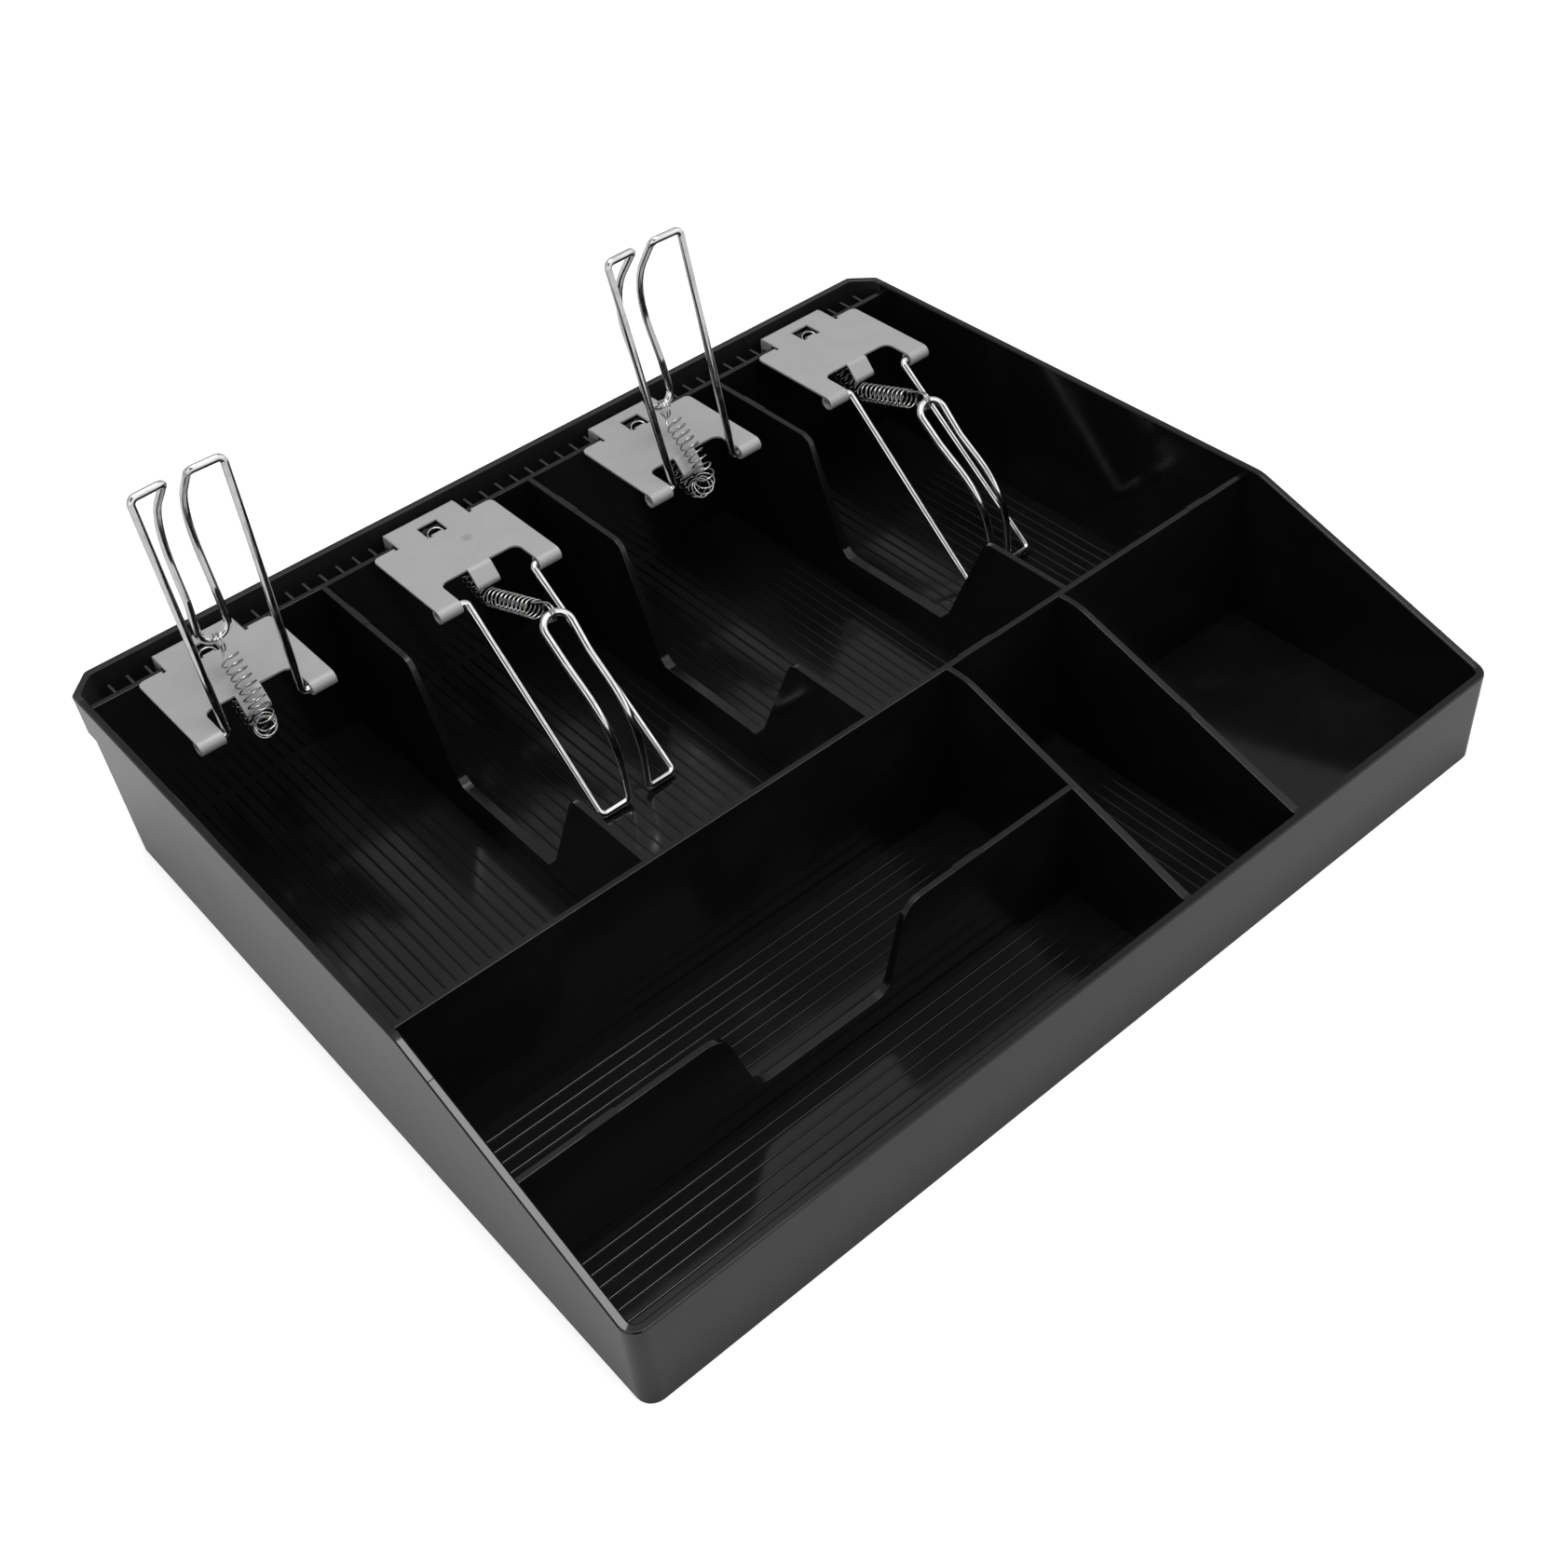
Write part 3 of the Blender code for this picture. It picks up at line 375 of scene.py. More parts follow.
def rib_tree():
    """A row of half-sunk rods: one rod, placed at even steps along a line."""
    tree, given, result = start_tree(
        "floor_rib_row",
        [
            ("Start", "NodeSocketVector"),
            ("Step", "NodeSocketVector"),
            ("Count", "NodeSocketInt"),
            ("Run", "NodeSocketVector"),
            ("Width", "NodeSocketFloat"),
            ("Sides", "NodeSocketInt"),
            ("Plastic", "NodeSocketMaterial"),
        ],
    )
    places = add_node(
        tree,
        "GeometryNodeMeshLine",
        {"mode": "OFFSET"},
        Count=given.outputs["Count"],
        Start_Location=given.outputs["Start"],
        Offset=given.outputs["Step"],
    )
    line = add_node(tree, "GeometryNodeCurvePrimitiveLine", End=given.outputs["Run"])
    ring = round_section(tree, given.outputs["Width"], given.outputs["Sides"])
    rod = add_node(
        tree,
        "GeometryNodeCurveToMesh",
        Curve=line.outputs["Curve"],
        Profile_Curve=ring.outputs["Curve"],
        Fill_Caps=True,
    )
    row = add_node(
        tree, "GeometryNodeInstanceOnPoints", Points=places.outputs["Mesh"], Instance=rod.outputs["Mesh"]
    )
    real = add_node(tree, "GeometryNodeRealizeInstances", Geometry=row.outputs["Instances"])
    smooth = add_node(tree, "GeometryNodeSetShadeSmooth", Geometry=real.outputs["Geometry"])
    painted = add_node(
        tree,
        "GeometryNodeSetMaterial",
        Geometry=smooth.outputs["Geometry"],
        Material=given.outputs["Plastic"],
    )
    tree.links.new(painted.outputs["Geometry"], result.inputs["Geometry"])
    return tree


def rib_row(name, low, high, along_y, pitch, lines):
    """Ribs that run from low to high over a bay's floor, between a first and a last line."""
    level = FLOOR_LEVEL - RIB_WIDTH * RIB_SINK
    first, last = lines
    count = round((last - first) / pitch) + 1
    if along_y:
        start, step = Vector((first, low, level)), Vector((pitch, 0, 0))
        run = Vector((0, high - low, 0))
    else:
        start, step = Vector((low, first, level)), Vector((0, pitch, 0))
        run = Vector((high - low, 0, 0))
    seed = new_object(name, bpy.data.meshes.new(name))
    values = {
        "Start": start,
        "Step": step,
        "Count": count,
        "Run": run,
        "Width": RIB_WIDTH,
        "Sides": RIB_SIDES,
        "Plastic": tray_black,
    }
    mesh = grown(seed, ribs, values)
    seed.modifiers.clear()
    seed.data = mesh
    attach(seed, "tray")


ribs = rib_tree()
for number, lines in enumerate(NOTE_RIB_LINES, 1):
    rib_row(f"note_floor_ribs_{number}", *NOTE_BAY_DEPTH, True, NOTE_RIB_PITCH, lines)
rib_row("rear_coin_floor_ribs", *LONG_BAY_WIDTH, False, COIN_RIB_PITCH, REAR_COIN_RIB_LINES)
rib_row("front_coin_floor_ribs", *LONG_BAY_WIDTH, False, COIN_RIB_PITCH, FRONT_COIN_RIB_LINES)
rib_row("narrow_coin_floor_ribs", *NARROW_BAY_DEPTH, True, NARROW_RIB_PITCH, NARROW_RIB_LINES)


# The mould leaves its marks on the upper edges: low pads where pins pushed the moulding out,
# and fine raised lines across the side rims where two plates of the mould met.
PAD_PROUD = 0.00012
PAD_WIDTH = 0.0023
JOINT_LINE_PROUD = 0.00006
JOINT_LINE_WIDTH = 0.00030
MARK_DEPTH = 0.0005
MARK_ROUNDING = 0.00005
MARK_SEGMENTS = 2
PUSHER_PADS = (
    ((-0.0809, 0.0996, 0.0595), (-0.0809, 0.1106, 0.0595)),
    ((0.0, 0.0996, 0.0595), (0.0, 0.1106, 0.0595)),
    ((0.0809, 0.0996, 0.0595), (0.0809, 0.1106, 0.0595)),
    ((-0.1420, -0.09465, 0.04611), (-0.1320, -0.09465, 0.04611)),
    ((-0.0160, -0.09465, 0.04611), (-0.0066, -0.09465, 0.04611)),
    ((0.0305, -0.1296, 0.03492), (0.0305, -0.1182, 0.03857)),
    ((0.0775, -0.0983, 0.04495), (0.0775, -0.0935, 0.04648)),
    ((0.0362, -0.04385, 0.0595), (0.0494, -0.04385, 0.0595)),
    ((0.1360, -0.04385, 0.0595), (0.1434, -0.04385, 0.0595)),
)
JOINT_LINES = (
    (-1, 0.0846, 0.06230), (-1, 0.0332, 0.06230), (-1, 0.0014, 0.06230), (-1, -0.0636, 0.05767),
    (1, -0.0012, 0.06230), (1, -0.0652, 0.05713), (1, -0.1104, 0.04191), (1, -0.1218, 0.03807),
)
RIM_MIDDLE = 0.1637
RIM_HALF_WIDTH = 0.0009


def add_ridge(form, start, end, width, proud):
    """A low ridge between two points, sunk into the edge below it."""
    start, end = Vector(start), Vector(end)
    ahead = (end - start).normalized()
    side = ahead.cross(Vector((0, 0, 1))).normalized()
    rise = side.cross(ahead)
    half = width / 2
    section = ((-half, -MARK_DEPTH), (half, -MARK_DEPTH), (half, proud), (-half, proud))
    corners = [
        form.verts.new(place + side * across + rise * lift)
        for place in (start, end)
        for across, lift in section
    ]
    for ring in ((0, 3, 2, 1), (4, 5, 6, 7), (0, 1, 5, 4), (1, 2, 6, 5), (2, 3, 7, 6), (3, 0, 4, 7)):
        form.faces.new([corners[index] for index in ring])


form = bmesh.new()
for start, end in PUSHER_PADS:
    add_ridge(form, start, end, PAD_WIDTH, PAD_PROUD)
for side, depth, level in JOINT_LINES:
    start = (side * (RIM_MIDDLE - RIM_HALF_WIDTH), depth, level)
    end = (side * (RIM_MIDDLE + RIM_HALF_WIDTH), depth, level)
    add_ridge(form, start, end, JOINT_LINE_WIDTH, JOINT_LINE_PROUD)
bmesh.ops.recalc_face_normals(form, faces=form.faces)
bmesh.ops.bevel(
    form, geom=form.edges, offset=MARK_ROUNDING, segments=MARK_SEGMENTS, affect="EDGES"
)
mark_mesh = bpy.data.meshes.new("mould_marks")
form.to_mesh(mark_mesh)
form.free()
mark_mesh.materials.append(tray_black)
mould_marks = new_object("mould_marks", mark_mesh)
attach(mould_marks, "tray")


# Each bracket is pressed from one steel strip and satin plated. The press leaves its edges a
# little rounded, and the legs, tongue, tab and lug are folded from the same sheet. The tab that
# hooks over the tray's inner wall has a small flange at each end, with rounded rear corners.
BRACKET_SHEET = 0.0009
BRACKET_CORNER_RADIUS = 0.00060
BRACKET_CORNER_SEGMENTS = 3
BRACKET_LEAST_EDGE_TURN = math.radians(50)
BRACKET_EDGE_SHARE = 0.3
NEARLY_SQUARE = 0.9
TAB_UNDERSIDE = 0.0598
TAB_ROOT = 0.1252
FLANGE_START = 0.1286
FLANGE_END = 0.1347
FLANGE_BOTTOM = 0.0563
BRACKET_GREY = (0.375, 0.375, 0.375, 1.0)
BRACKET_DULL_GREY = (0.348, 0.348, 0.348, 1.0)
# One small soft darker spot on a bracket's plate, at the given place.
DARK_SPOT_GREY = (0.24, 0.24, 0.24, 1.0)
DARK_SPOT_PLACE = (-0.0344, 0.1126, 0.0607)
DARK_SPOT_RADIUS = 0.0031
DARK_SPOT_CORE = 0.2
DARK_SPOT_RAGGEDNESS = 0.0012


def plated_steel():
    """Satin plating: a soft cloudy grey with a very fine grain, and one small darker spot at a given
    place.
    """
    finish = Finish(bpy.data.materials.new("satin_plated_steel"))
    cloud = finish.noise(120.0, 4.0, 0.6)
    grain = finish.noise(3800.0, 2.0, 0.5)
    sockets = {0: finish.place, 1: DARK_SPOT_PLACE}
    reach = finish.node("ShaderNodeVectorMath", {"operation": "DISTANCE"}, sockets, "Value")
    ragged = reach + DARK_SPOT_RAGGEDNESS * cloud
    dark_spot = 1.0 - finish.between(DARK_SPOT_RADIUS * DARK_SPOT_CORE, DARK_SPOT_RADIUS, ragged)
    clean = finish.colours(BRACKET_GREY, BRACKET_DULL_GREY, finish.between(0.35, 0.75, cloud))
    finish.set(
        Base_Color=finish.colours(clean, DARK_SPOT_GREY, dark_spot),
        Metallic=0.30,
        Roughness=0.50 + 0.08 * cloud + 0.05 * grain,
        Normal=finish.bump(grain, 0.18, 0.00004),
    )
    return finish.holder


def add_tab_flanges(form):
    """Turn a flange down into the trough at each end of the rear tab."""
    tab = [vertex.co.x for vertex in form.verts if vertex.co.y > FLANGE_START]
    height = TAB_UNDERSIDE + BRACKET_SHEET / 2 - FLANGE_BOTTOM
    size = Vector((BRACKET_SHEET, FLANGE_END - FLANGE_START, height))
    middle = Vector((0, FLANGE_START + size.y / 2, FLANGE_BOTTOM + size.z / 2))
    for end in (min(tab) + BRACKET_SHEET / 2, max(tab) - BRACKET_SHEET / 2):
        middle.x = end
        place = Matrix.Translation(middle) @ Matrix.Diagonal((*size, 1.0))
        bmesh.ops.create_cube(form, size=1.0, matrix=place)


def bracket_edge_share(edge):
    """Sheared edges are broken, the tab's ends are rounder, and folds are left as they are."""
    if edge.calc_face_angle(0) < BRACKET_LEAST_EDGE_TURN:
        return 0.0
    first, second = (face.normal for face in edge.link_faces)
    at_end = max(abs(first.x), abs(second.x)) > NEARLY_SQUARE
    outward = first.y + first.z + second.y + second.z > NEARLY_SQUARE
    middle = (edge.verts[0].co + edge.verts[1].co) / 2
    return 1.0 if at_end and outward and middle.y > TAB_ROOT else BRACKET_EDGE_SHARE


plated = plated_steel()
for number in range(1, 5):
    node = f"clip_bracket_{number}"
    bracket = rounded_copy(
        f"plated_bracket_{number}",
        node,
        BRACKET_CORNER_RADIUS,
        BRACKET_CORNER_SEGMENTS,
        bracket_edge_share,
        add_tab_flanges,
    )
    bracket.data.materials.append(plated)
    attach(bracket, "tray")
    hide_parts(node)


# Each bail is one length of bright plated spring wire. Its ends turn outwards as pins in the
# bracket's barrels, the arms run to two toes that press on the notes, and the wire comes back
# behind the arms to the loop that the spring pulls on.
WIRE = 0.0025
WIRE_SIDES = 28
WIRE_SHARP_TURN = math.radians(50)
BEND_STEP = math.radians(6)
BEND_LEAST_PIECES = 3
BRIGHT_PLATE = (0.80, 0.80, 0.81, 1.0)
DIM_PLATE = (0.66, 0.66, 0.67, 1.0)
BAIL_LENGTH = 0.0798
PIN_END = 0.0222
HINGE_HALF_SPREAD = 0.0128
TIP_HALF_SPREAD = 0.0144
PIN_BEND_RADIUS = 0.0016
TOE_BEND_RADIUS = 0.0020
TOE_HALF_GAP = 0.0037
TOE_RISE = 0.0006
SHOULDER_FROM_TIP = 0.0190
SHOULDER_RISE = 0.0210
SHOULDER_HALF_GAP = 0.0044
SHOULDER_RADIUS = 0.0300
NECK_FROM_HINGE = 0.0345
NECK_RISE = 0.0181
NECK_HALF_GAP = 0.0046
NECK_RADIUS = 0.0120
LOOP_FROM_HINGE = 0.0190
LOOP_RISE = 0.0188
LOOP_HALF_WIDTH = 0.0052
LOOP_RADIUS = 0.0047
LOWERED = math.radians(220.712)
BAIL_ANGLES = (math.radians(82.7), LOWERED, math.radians(79.4), LOWERED)
RAISED_LIMIT = math.radians(90)
BAIL_LEAN = (0.0016, 0.0009, -0.0016, 0.0008)
LOOP_BEND = (-0.0002, 0.0014, 0.0018, -0.0010)
PIN_PLAY = (-0.0004, 0.0004, 0.0000, -0.0003)


def bright_wire():
    """Nickel-bright wire with faint drawing lines and slightly dull patches."""
    finish = Finish(bpy.data.materials.new("bright_bail_wire"))
    patches = finish.between(0.45, 0.70, finish.noise(260.0, 4.0, 0.6))
    lines = finish.noise(5200.0, 2.0, 0.5)
    finish.set(
        Base_Color=finish.colours(BRIGHT_PLATE, DIM_PLATE, patches),
        Metallic=1.0,
        Roughness=0.09 + 0.10 * patches + 0.03 * lines,
        Normal=finish.bump(lines, 0.04, 0.00003),
    )
    return finish.holder


def wire_tree():
    """A round wire along a curve, with closed ends and a smooth skin."""
    tree, given, result = start_tree(
        "drawn_wire",
        [
            ("Diameter", "NodeSocketFloat"),
            ("Sides", "NodeSocketInt"),
            ("Metal", "NodeSocketMaterial"),
        ],
    )
    ring = round_section(tree, given.outputs["Diameter"], given.outputs["Sides"])
    wire = add_node(
        tree,
        "GeometryNodeCurveToMesh",
        Curve=given.outputs["Geometry"],
        Profile_Curve=ring.outputs["Curve"],
        Fill_Caps=True,
    )
    smooth = add_node(tree, "GeometryNodeSetShadeSmooth", Geometry=wire.outputs["Mesh"])
    real = add_node(tree, "GeometryNodeRealizeInstances", Geometry=smooth.outputs["Geometry"])
    painted = add_node(
        tree,
        "GeometryNodeSetMaterial",
        Geometry=real.outputs["Geometry"],
        Material=given.outputs["Metal"],
    )
    tree.links.new(painted.outputs["Geometry"], result.inputs["Geometry"])
    return tree


def drawn_wire(name, points, diameter, sides, metal):
    """A wire mesh along a run of points, in the tray's own place."""
    curve = bpy.data.curves.new(name + "_line", "CURVE")
    curve.dimensions = "3D"
    curve.twist_mode = "MINIMUM"
    spline = curve.splines.new("POLY")
    spline.points.add(len(points) - 1)
    for knot, point in zip(spline.points, points):
        knot.co = (*point, 1.0)
    line = new_object(name + "_line", curve)
    mesh = grown(line, wires, {"Diameter": diameter, "Sides": sides, "Metal": metal})
    bpy.data.objects.remove(line)
    mesh.name = name
    form = bmesh.new()
    form.from_mesh(mesh)
    bmesh.ops.recalc_face_normals(form, faces=form.faces)
    form.to_mesh(mesh)
    form.free()
    mesh.set_sharp_from_angle(angle=WIRE_SHARP_TURN)
    return new_object(name, mesh)


def bent(corners, radii):
    """A line of straight runs joined by round bends."""
    line = [corners[0]]
    for before, corner, after, radius in zip(corners, corners[1:], corners[2:], radii[1:]):
        arrive = (corner - before).normalized()
        leave = (after - corner).normalized()
        turn = arrive.angle(leave)
        start = corner - arrive * radius * math.tan(turn / 2)
        inward = (leave - arrive * arrive.dot(leave)).normalized()
        pieces = max(BEND_LEAST_PIECES, math.ceil(turn / BEND_STEP))
        for piece in range(pieces + 1):
            angle = turn * piece / pieces
            place = start + inward * radius * (1 - math.cos(angle))
            line.append(place + arrive * radius * math.sin(angle))
    line.append(corners[-1])
    return line


def bail_line(lean, bend):
    """The bail's middle line about its hinge: across, along the arm, and behind the arm."""
    half = [
        (PIN_END, 0, 0, 0),
        (HINGE_HALF_SPREAD, 0, 0, PIN_BEND_RADIUS),
        (TIP_HALF_SPREAD, BAIL_LENGTH, 0, TOE_BEND_RADIUS),
        (TOE_HALF_GAP, BAIL_LENGTH, TOE_RISE, TOE_BEND_RADIUS),
        (SHOULDER_HALF_GAP, BAIL_LENGTH - SHOULDER_FROM_TIP, SHOULDER_RISE, SHOULDER_RADIUS),
        (NECK_HALF_GAP, NECK_FROM_HINGE, NECK_RISE, NECK_RADIUS),
        (LOOP_HALF_WIDTH, LOOP_FROM_HINGE, LOOP_RISE, LOOP_RADIUS),
    ]
    whole = half + [(-across, along, rise, radius) for across, along, rise, radius in reversed(half)]
    corners = []
    for across, along, rise, radius in whole:
        share = (BAIL_LENGTH - along) / (BAIL_LENGTH - LOOP_FROM_HINGE) if rise > TOE_RISE else 0
        corners.append(Vector((across + bend * share + lean * along / BAIL_LENGTH, along, -rise)))
    return bent(corners, [radius for across, along, rise, radius in whole])


bright = bright_wire()
wires = wire_tree()
hinges = {joint["child"]: Vector(joint["pos_m"]) for joint in frame["joints"]}
for index, angle in enumerate(BAIL_ANGLES):
    body = f"bail_{index + 1}"
    seat = hinges[body] + Vector((PIN_PLAY[index], 0, 0))
    place = Matrix.Translation(seat) @ Matrix.Rotation(angle, 4, "X")
    points = [place @ point for point in bail_line(BAIL_LEAN[index], LOOP_BEND[index])]
    bail = drawn_wire(f"bright_bail_{index + 1}", points, WIRE, WIRE_SIDES, bright)
    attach(bail, body)
    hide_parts(f"bail_wire_{index + 1}")


# Each spring is wound from thin spring wire, and its turns stay drawn apart. A hook goes round
# the bail's loop, the coil runs over the bracket's tongue, and an eye hangs on the lug in the
# bracket's hole. A lowered bail leaves the longer bend between its hook and the coil.
SPRING_WIRE = 0.0006
SPRING_SIDES = 10
SPRING_GREY = (0.53, 0.53, 0.52, 1.0)
SPRING_OILED_GREY = (0.22, 0.22, 0.21, 1.0)
COIL_RADIUS = 0.0031
COIL_TURNS = (22, 20, 22, 20)
LAST_TURN_SHARE = 0.75
TURN_POINTS = 20
TONGUE_BEND_LEAST_PIECES = 4
TONGUE_ROOT = Vector((0.0112, 0.00005))
TONGUE_TIP = Vector((0.007707, -0.003024))
ROOT_RADIUS = 0.0069
TIP_RADIUS = 0.0062
COIL_STARTS = (0.0064, 0.0084, 0.0064, 0.0084)
COIL_END = Vector((0.0305, -0.0023))
COIL_TO_EYE = 0.0036
HOOK_TURNS = 1.75
HOOK_PITCH = 0.0011
HOOK_RADIUS = 0.0030
EYE_RADIUS = 0.0029
EYE_TILT = math.radians(17)
EYE_REAR = Vector((0, 0.0383, 0.00205))
EYE_TURN = math.radians(262)
EYE_STEP = math.radians(15)
JOINING_PIECES = 10
SPRING_SLIP = (-0.0010, 0.0, 0.0002, 0.0)
SPRING_SAG = (0.0004, 0.0, 0.0010, 0.0)


def spring_steel():
    """Drawn spring wire, lightly oiled: bright on the crowns and darker in between."""
    finish = Finish(bpy.data.materials.new("drawn_spring_wire"))
    film = finish.between(0.40, 0.70, finish.noise(420.0, 4.0, 0.6))
    finish.set(
        Base_Color=finish.colours(SPRING_GREY, SPRING_OILED_GREY, film),
        Metallic=1.0,
        Roughness=0.09 + 0.12 * film,
    )
    return finish.holder


def belt(stations):
    """A belt's line over round stations, all on the same side of it."""
    meets = []
    for (first, near), (second, far) in zip(stations, stations[1:]):
        gap = second - first
        meets.append(math.atan2(gap.y, gap.x) - math.acos((near - far) / gap.length))
    line = [stations[0][0]]
    for (centre, radius), arrive, leave in zip(stations[1:-1], meets, meets[1:]):
        swept = (leave - arrive) % (2 * math.pi)
        pieces = max(TONGUE_BEND_LEAST_PIECES, math.ceil(swept / BEND_STEP))
        for piece in range(pieces + 1):
            angle = arrive + swept * piece / pieces
            line.append(centre + radius * Vector((math.cos(angle), math.sin(angle))))
    line.append(stations[-1][0])
    return line


def place_along(line, distance):
    """Place and direction at a distance along a line."""
    for low, high in zip(line, line[1:]):
        length = (high - low).length
        if distance <= length or high is line[-1]:
            direction = (high - low).normalized()
            return low + direction * distance, direction
        distance -= length


def easing(start, leave, end, arrive):
    """Points of a smooth bend between two places with given directions, ends left out."""
    points = []
    for index in range(1, JOINING_PIECES):
        t = index / JOINING_PIECES
        near_start = (2 * t**3 - 3 * t**2 + 1) * start + (t**3 - 2 * t**2 + t) * leave
        points.append(near_start + (3 * t**2 - 2 * t**3) * end + (t**3 - t**2) * arrive)
    return points


def spring_line(angle, lean, bend, slip, sag, windings, lead):
    """The spring's middle line about its hinge: hook, coil over the tongue, and eye."""
    arm = Vector((math.cos(angle), math.sin(angle)))
    loop = LOOP_FROM_HINGE * arm + LOOP_RISE * Vector((arm.y, -arm.x))
    stations = [(loop, 0), (TONGUE_TIP, TIP_RADIUS + sag), (COIL_END, 0)]
    if angle < RAISED_LIMIT:
        stations.insert(1, (TONGUE_ROOT, ROOT_RADIUS))
    route = belt(stations)
    lengths = [(high - low).length for low, high in zip(route, route[1:])]
    length = sum(lengths)
    past_tongue = length - lengths[-1]
    shift = bend + lean * LOOP_FROM_HINGE / BAIL_LENGTH

    def sideways(distance):
        if distance < past_tongue:
            return shift + (slip - shift) * distance / past_tongue
        return slip * (length - distance) / lengths[-1]

    def placed(place, across):
        return Vector((across, place.x, place.y))

    ahead = place_along(route, 0)[1]
    side = Vector((-ahead.y, ahead.x))
    hook_middle = loop + (HOOK_RADIUS - (WIRE + SPRING_WIRE) / 2) * ahead
    hook = []
    hook_steps = math.ceil(HOOK_TURNS * TURN_POINTS)
    for index in range(hook_steps + 1):
        turns = HOOK_TURNS * (index / hook_steps - 1)
        turn = 2 * math.pi * turns
        place = hook_middle + HOOK_RADIUS * (math.cos(turn) * side + math.sin(turn) * ahead)
        hook.append(placed(place, shift + HOOK_PITCH * (turns + HOOK_TURNS / 2)))
    coil = []
    steps = round((windings + LAST_TURN_SHARE) * TURN_POINTS)
    for index in range(steps + 1):
        distance = lead + (length - lead) * index / steps
        place, direction = place_along(route, distance)
        phase = 2 * math.pi * index / TURN_POINTS
        rise = COIL_RADIUS * math.cos(phase) * Vector((-direction.y, direction.x))
        coil.append(placed(place + rise, sideways(distance) + COIL_RADIUS * math.sin(phase)))
    rearward = Vector((0, math.cos(EYE_TILT), math.sin(EYE_TILT)))
    eye_middle = EYE_REAR - EYE_RADIUS * rearward
    eye = []
    eye_steps = math.ceil(EYE_TURN / EYE_STEP)
    rightward = Vector((1, 0, 0))
    for index in range(eye_steps + 1):
        turn = EYE_TURN * index / eye_steps
        spoke = math.sin(turn) * rearward - math.cos(turn) * rightward
        eye.append(eye_middle + EYE_RADIUS * spoke)
    leave_hook = placed(ahead, 0) * lead
    into_coil = (coil[1] - coil[0]).normalized() * lead
    leave_coil = (coil[-1] - coil[-2]).normalized() * COIL_TO_EYE
    into_eye = rearward * COIL_TO_EYE
    first_bend = easing(hook[-1], leave_hook, coil[0], into_coil)
    second_bend = easing(coil[-1], leave_coil, eye[0], into_eye)
    return [*hook, *first_bend, *coil, *second_bend, *eye]


sprung = spring_steel()
for index, angle in enumerate(BAIL_ANGLES):
    body = f"bail_{index + 1}"
    hinge = hinges[body].copy()
    hinge.x = CLIP_MIDDLES[index]
    line = spring_line(
        angle,
        BAIL_LEAN[index],
        LOOP_BEND[index] + PIN_PLAY[index],
        SPRING_SLIP[index],
        SPRING_SAG[index],
        COIL_TURNS[index],
        COIL_STARTS[index],
    )
    points = [hinge + point for point in line]
    spring = drawn_wire(f"wound_spring_{index + 1}", points, SPRING_WIRE, SPRING_SIDES, sprung)
    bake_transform(spring)
    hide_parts(f"bail_spring_{index + 1}")


# The tray stands on a wide white table under one soft lamp overhead, in a pale room that is
# bright at the front, on both sides of the dark place behind the camera, and dimmer at the rear.
TABLE_SIZE = 6.0
TABLE_WHITE = (0.80, 0.80, 0.80, 1.0)
TABLE_PALE_WHITE = (0.82, 0.82, 0.82, 1.0)
TABLE_GLOW_SEEN = 0.55
TABLE_GLOW_MIRRORED = 0.05
# Painted shade: in reflections the table is a darker grey, so the tray's walls mirror it as if shaded
# beside them.
TABLE_SHADE_IN_REFLECTIONS = (0.56, 0.56, 0.56, 1.0)
REAR_LIGHT = ((0.02, 0.65), (0.30, 0.52), (0.58, 0.38), (0.75, 0.42), (0.86, 0.85), (0.95, 1.10))
FRONT_LIGHT = ((0.02, 0.80), (0.15, 1.00), (0.50, 1.15), (0.76, 1.15), (0.85, 0.75), (0.95, 1.00))
FRONT_TO_REAR = (-0.15, 0.15)
DARK_SIDE = (-0.426, -0.582, 0.692)
DARK_SIDE_LEVEL = (0.02, 0.02, 0.02, 1.0)
DARK_SIDE_CORE = math.cos(math.radians(17))
DARK_SIDE_RIM = math.cos(math.radians(25))
BACKDROP_WHITE = (1.0, 1.0, 1.0, 1.0)
LAMP_PLACE = Vector((0.0, -0.08, 1.30))
LAMP_TARGET = Vector((0.0, 0.0, 0.0))
LAMP_SIZE = 0.6
LAMP_POWER = 8.0


def table_finish():
    """A white table: glowing to the camera, so that it stays white, and with painted shade that makes it
    greyer in reflections.
    """
    finish = Finish(bpy.data.materials.new("white_table"))
    cloud = finish.noise(3.0, 2.0, 0.5)
    camera = finish.node("ShaderNodeLightPath", {}, {}, "Is Camera Ray")
    glossy = finish.node("ShaderNodeLightPath", {}, {}, "Is Glossy Ray")
    through = finish.node("ShaderNodeLightPath", {}, {}, "Is Transmission Ray")
    white = finish.colours(TABLE_WHITE, TABLE_PALE_WHITE, cloud)
    finish.set(Base_Color=finish.colours(white, TABLE_SHADE_IN_REFLECTIONS, glossy), Roughness=0.9)
    strength = camera * TABLE_GLOW_SEEN + (glossy + through) * TABLE_GLOW_MIRRORED
    glow = finish.node("ShaderNodeEmission", {}, {"Strength": strength})
    plain = Signal(finish, finish.shader.outputs[0])
    both = finish.node("ShaderNodeAddShader", {}, {0: plain, 1: glow})
    share = finish.between(0.0, 1.0, camera + glossy + through)
    pick = finish.node("ShaderNodeMixShader", {}, {0: share, 1: plain, 2: both})
    finish.feed(finish.tree.nodes["Material Output"].inputs["Surface"], pick)
    return finish.holder


table_mesh = bpy.data.meshes.new("white_table")
reach = TABLE_SIZE / 2
table_corners = [(-reach, -reach, 0), (reach, -reach, 0), (reach, reach, 0), (-reach, reach, 0)]
table_mesh.from_pydata(table_corners, [], [(0, 1, 2, 3)])
table_mesh.materials.append(table_finish())
table = new_object("white_table", table_mesh)

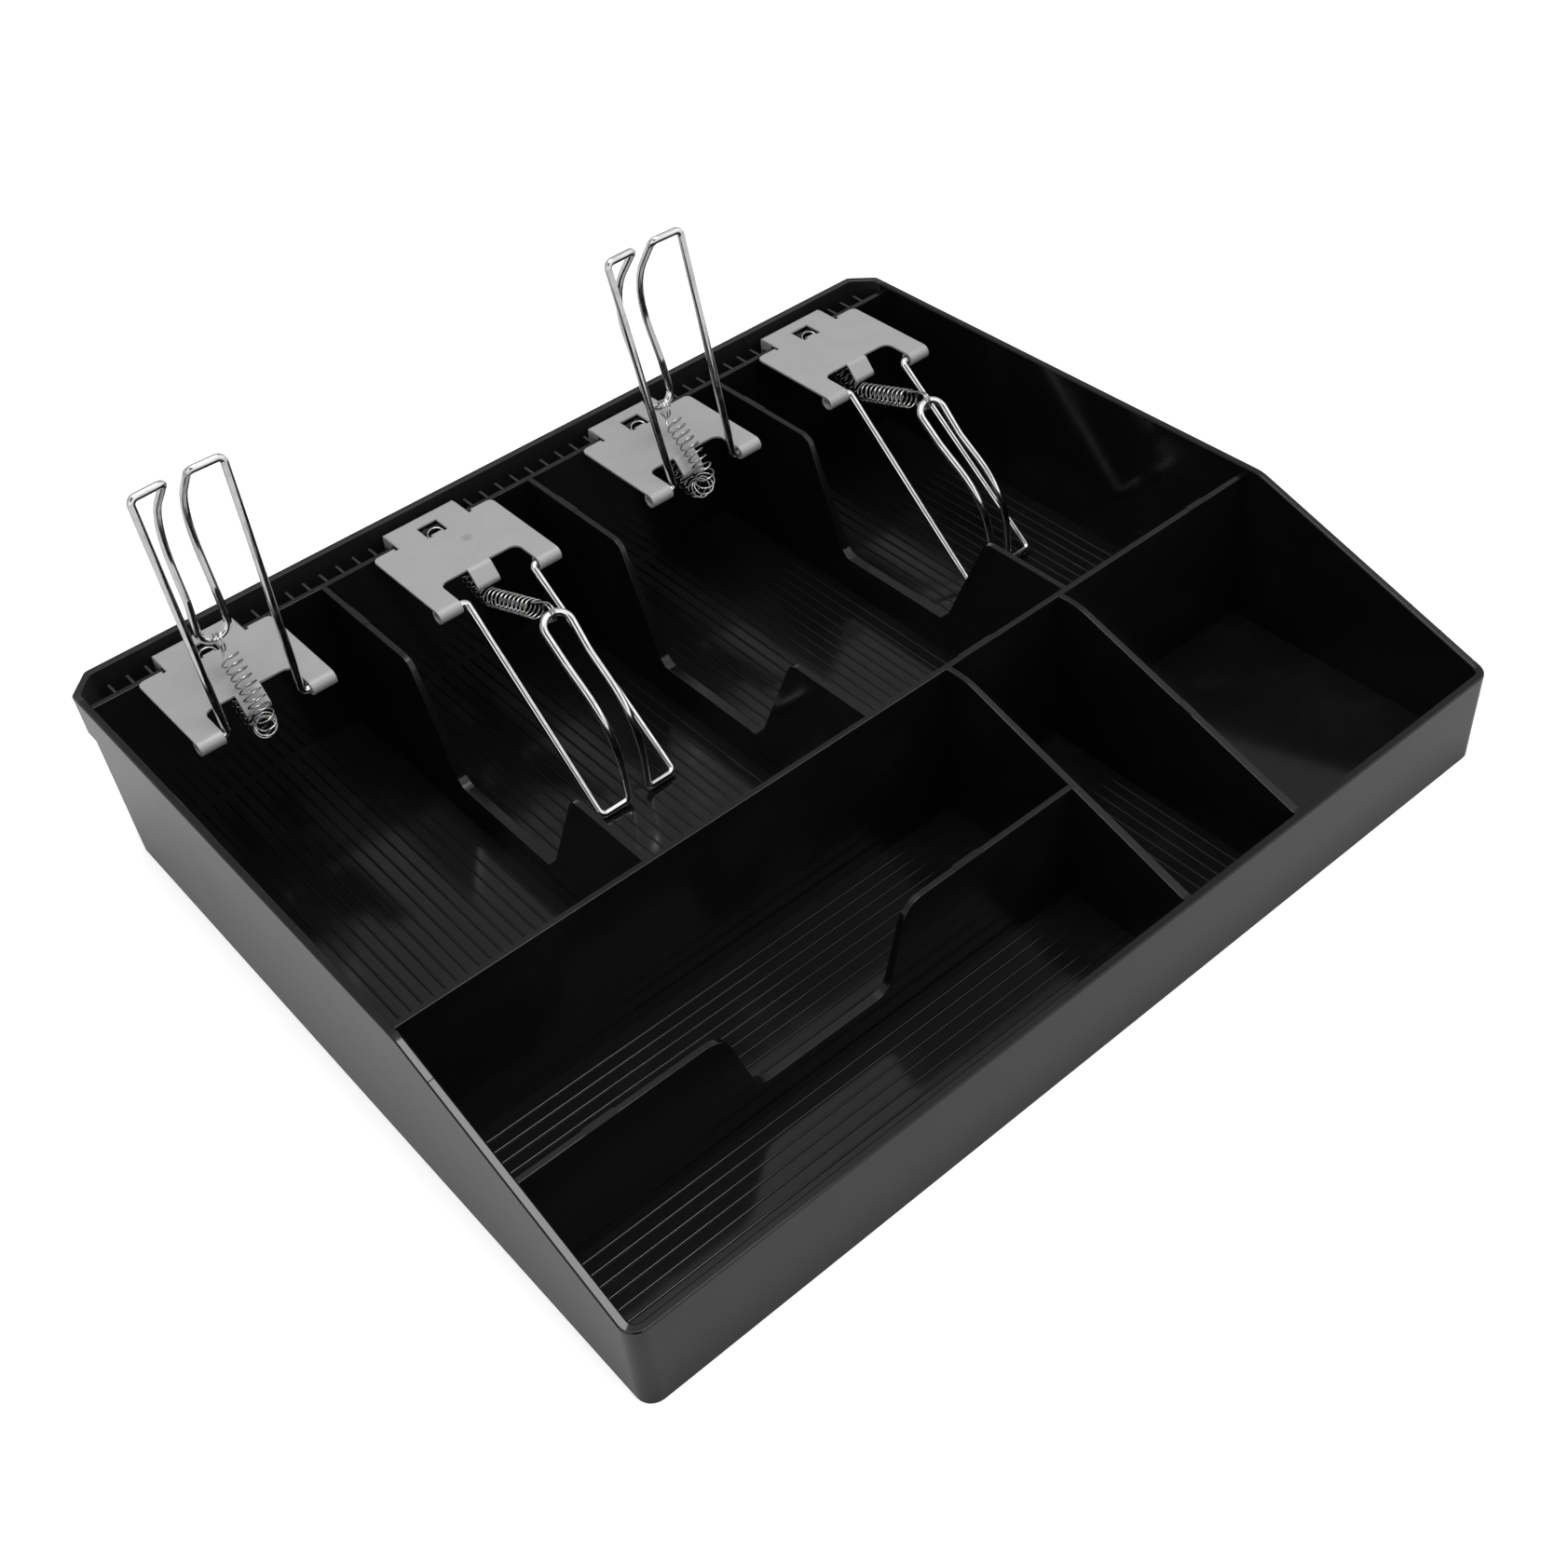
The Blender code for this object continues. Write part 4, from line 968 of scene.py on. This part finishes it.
room = Finish(bpy.data.worlds.new("pale_room"), "Background")
bpy.context.scene.world = room.holder
outward = room.node("ShaderNodeTexCoord", {}, {}, "Generated")
height = room.node("ShaderNodeSeparateXYZ", {}, {"Vector": outward}, "Z")
rearward = room.node("ShaderNodeSeparateXYZ", {}, {"Vector": outward}, "Y")
front = room.node("ShaderNodeValToRGB", {"stops": FRONT_LIGHT}, {"Fac": height})
rear = room.node("ShaderNodeValToRGB", {"stops": REAR_LIGHT}, {"Fac": height})
sky = room.colours(front, rear, room.between(*FRONT_TO_REAR, rearward))
sockets = {0: outward, 1: DARK_SIDE}
nearness = room.node("ShaderNodeVectorMath", {"operation": "DOT_PRODUCT"}, sockets, "Value")
light = room.colours(sky, DARK_SIDE_LEVEL, room.between(DARK_SIDE_RIM, DARK_SIDE_CORE, nearness))
seen = room.node("ShaderNodeLightPath", {}, {}, "Is Camera Ray")
room.set(Color=room.colours(light, BACKDROP_WHITE, seen), Strength=1.0)

glow = bpy.data.lights.new("overhead_lamp", "AREA")
glow.shape = "RECTANGLE"
glow.size = LAMP_SIZE
glow.size_y = LAMP_SIZE
glow.energy = LAMP_POWER
lamp = new_object("overhead_lamp", glow)
lamp.location = LAMP_PLACE
lamp.rotation_euler = (LAMP_TARGET - LAMP_PLACE).to_track_quat("-Z", "Y").to_euler()


# The camera looks down over the tray's front left corner, from the place that was worked out
# from the tray's own corners in the photograph.
CAMERA_PLACE = Vector((-0.26535, -0.36146, 0.43279))
CAMERA_AHEAD = Vector((0.42623, 0.58216, -0.69240)).normalized()
CAMERA_ROLL = math.radians(-6.27)
CAMERA_SENSOR = 36.0
CAMERA_FOCAL_PIXELS = 2087.64
CAMERA_NEAR = 0.01
PHOTOGRAPH_WIDTH = 1683

level_right = CAMERA_AHEAD.cross(Vector((0, 0, 1))).normalized()
level_up = level_right.cross(CAMERA_AHEAD)
right = math.cos(CAMERA_ROLL) * level_right + math.sin(CAMERA_ROLL) * level_up
up = math.cos(CAMERA_ROLL) * level_up - math.sin(CAMERA_ROLL) * level_right
eye = bpy.data.cameras.new("photograph_view")
eye.sensor_width = CAMERA_SENSOR
eye.lens = CAMERA_SENSOR * CAMERA_FOCAL_PIXELS / PHOTOGRAPH_WIDTH
eye.clip_start = CAMERA_NEAR
camera = new_object("photograph_view", eye)
turned = Matrix((right, up, -CAMERA_AHEAD)).transposed().to_4x4()
camera.matrix_world = Matrix.Translation(CAMERA_PLACE) @ turned
bpy.context.scene.camera = camera
bpy.context.scene.view_settings.view_transform = "Standard"
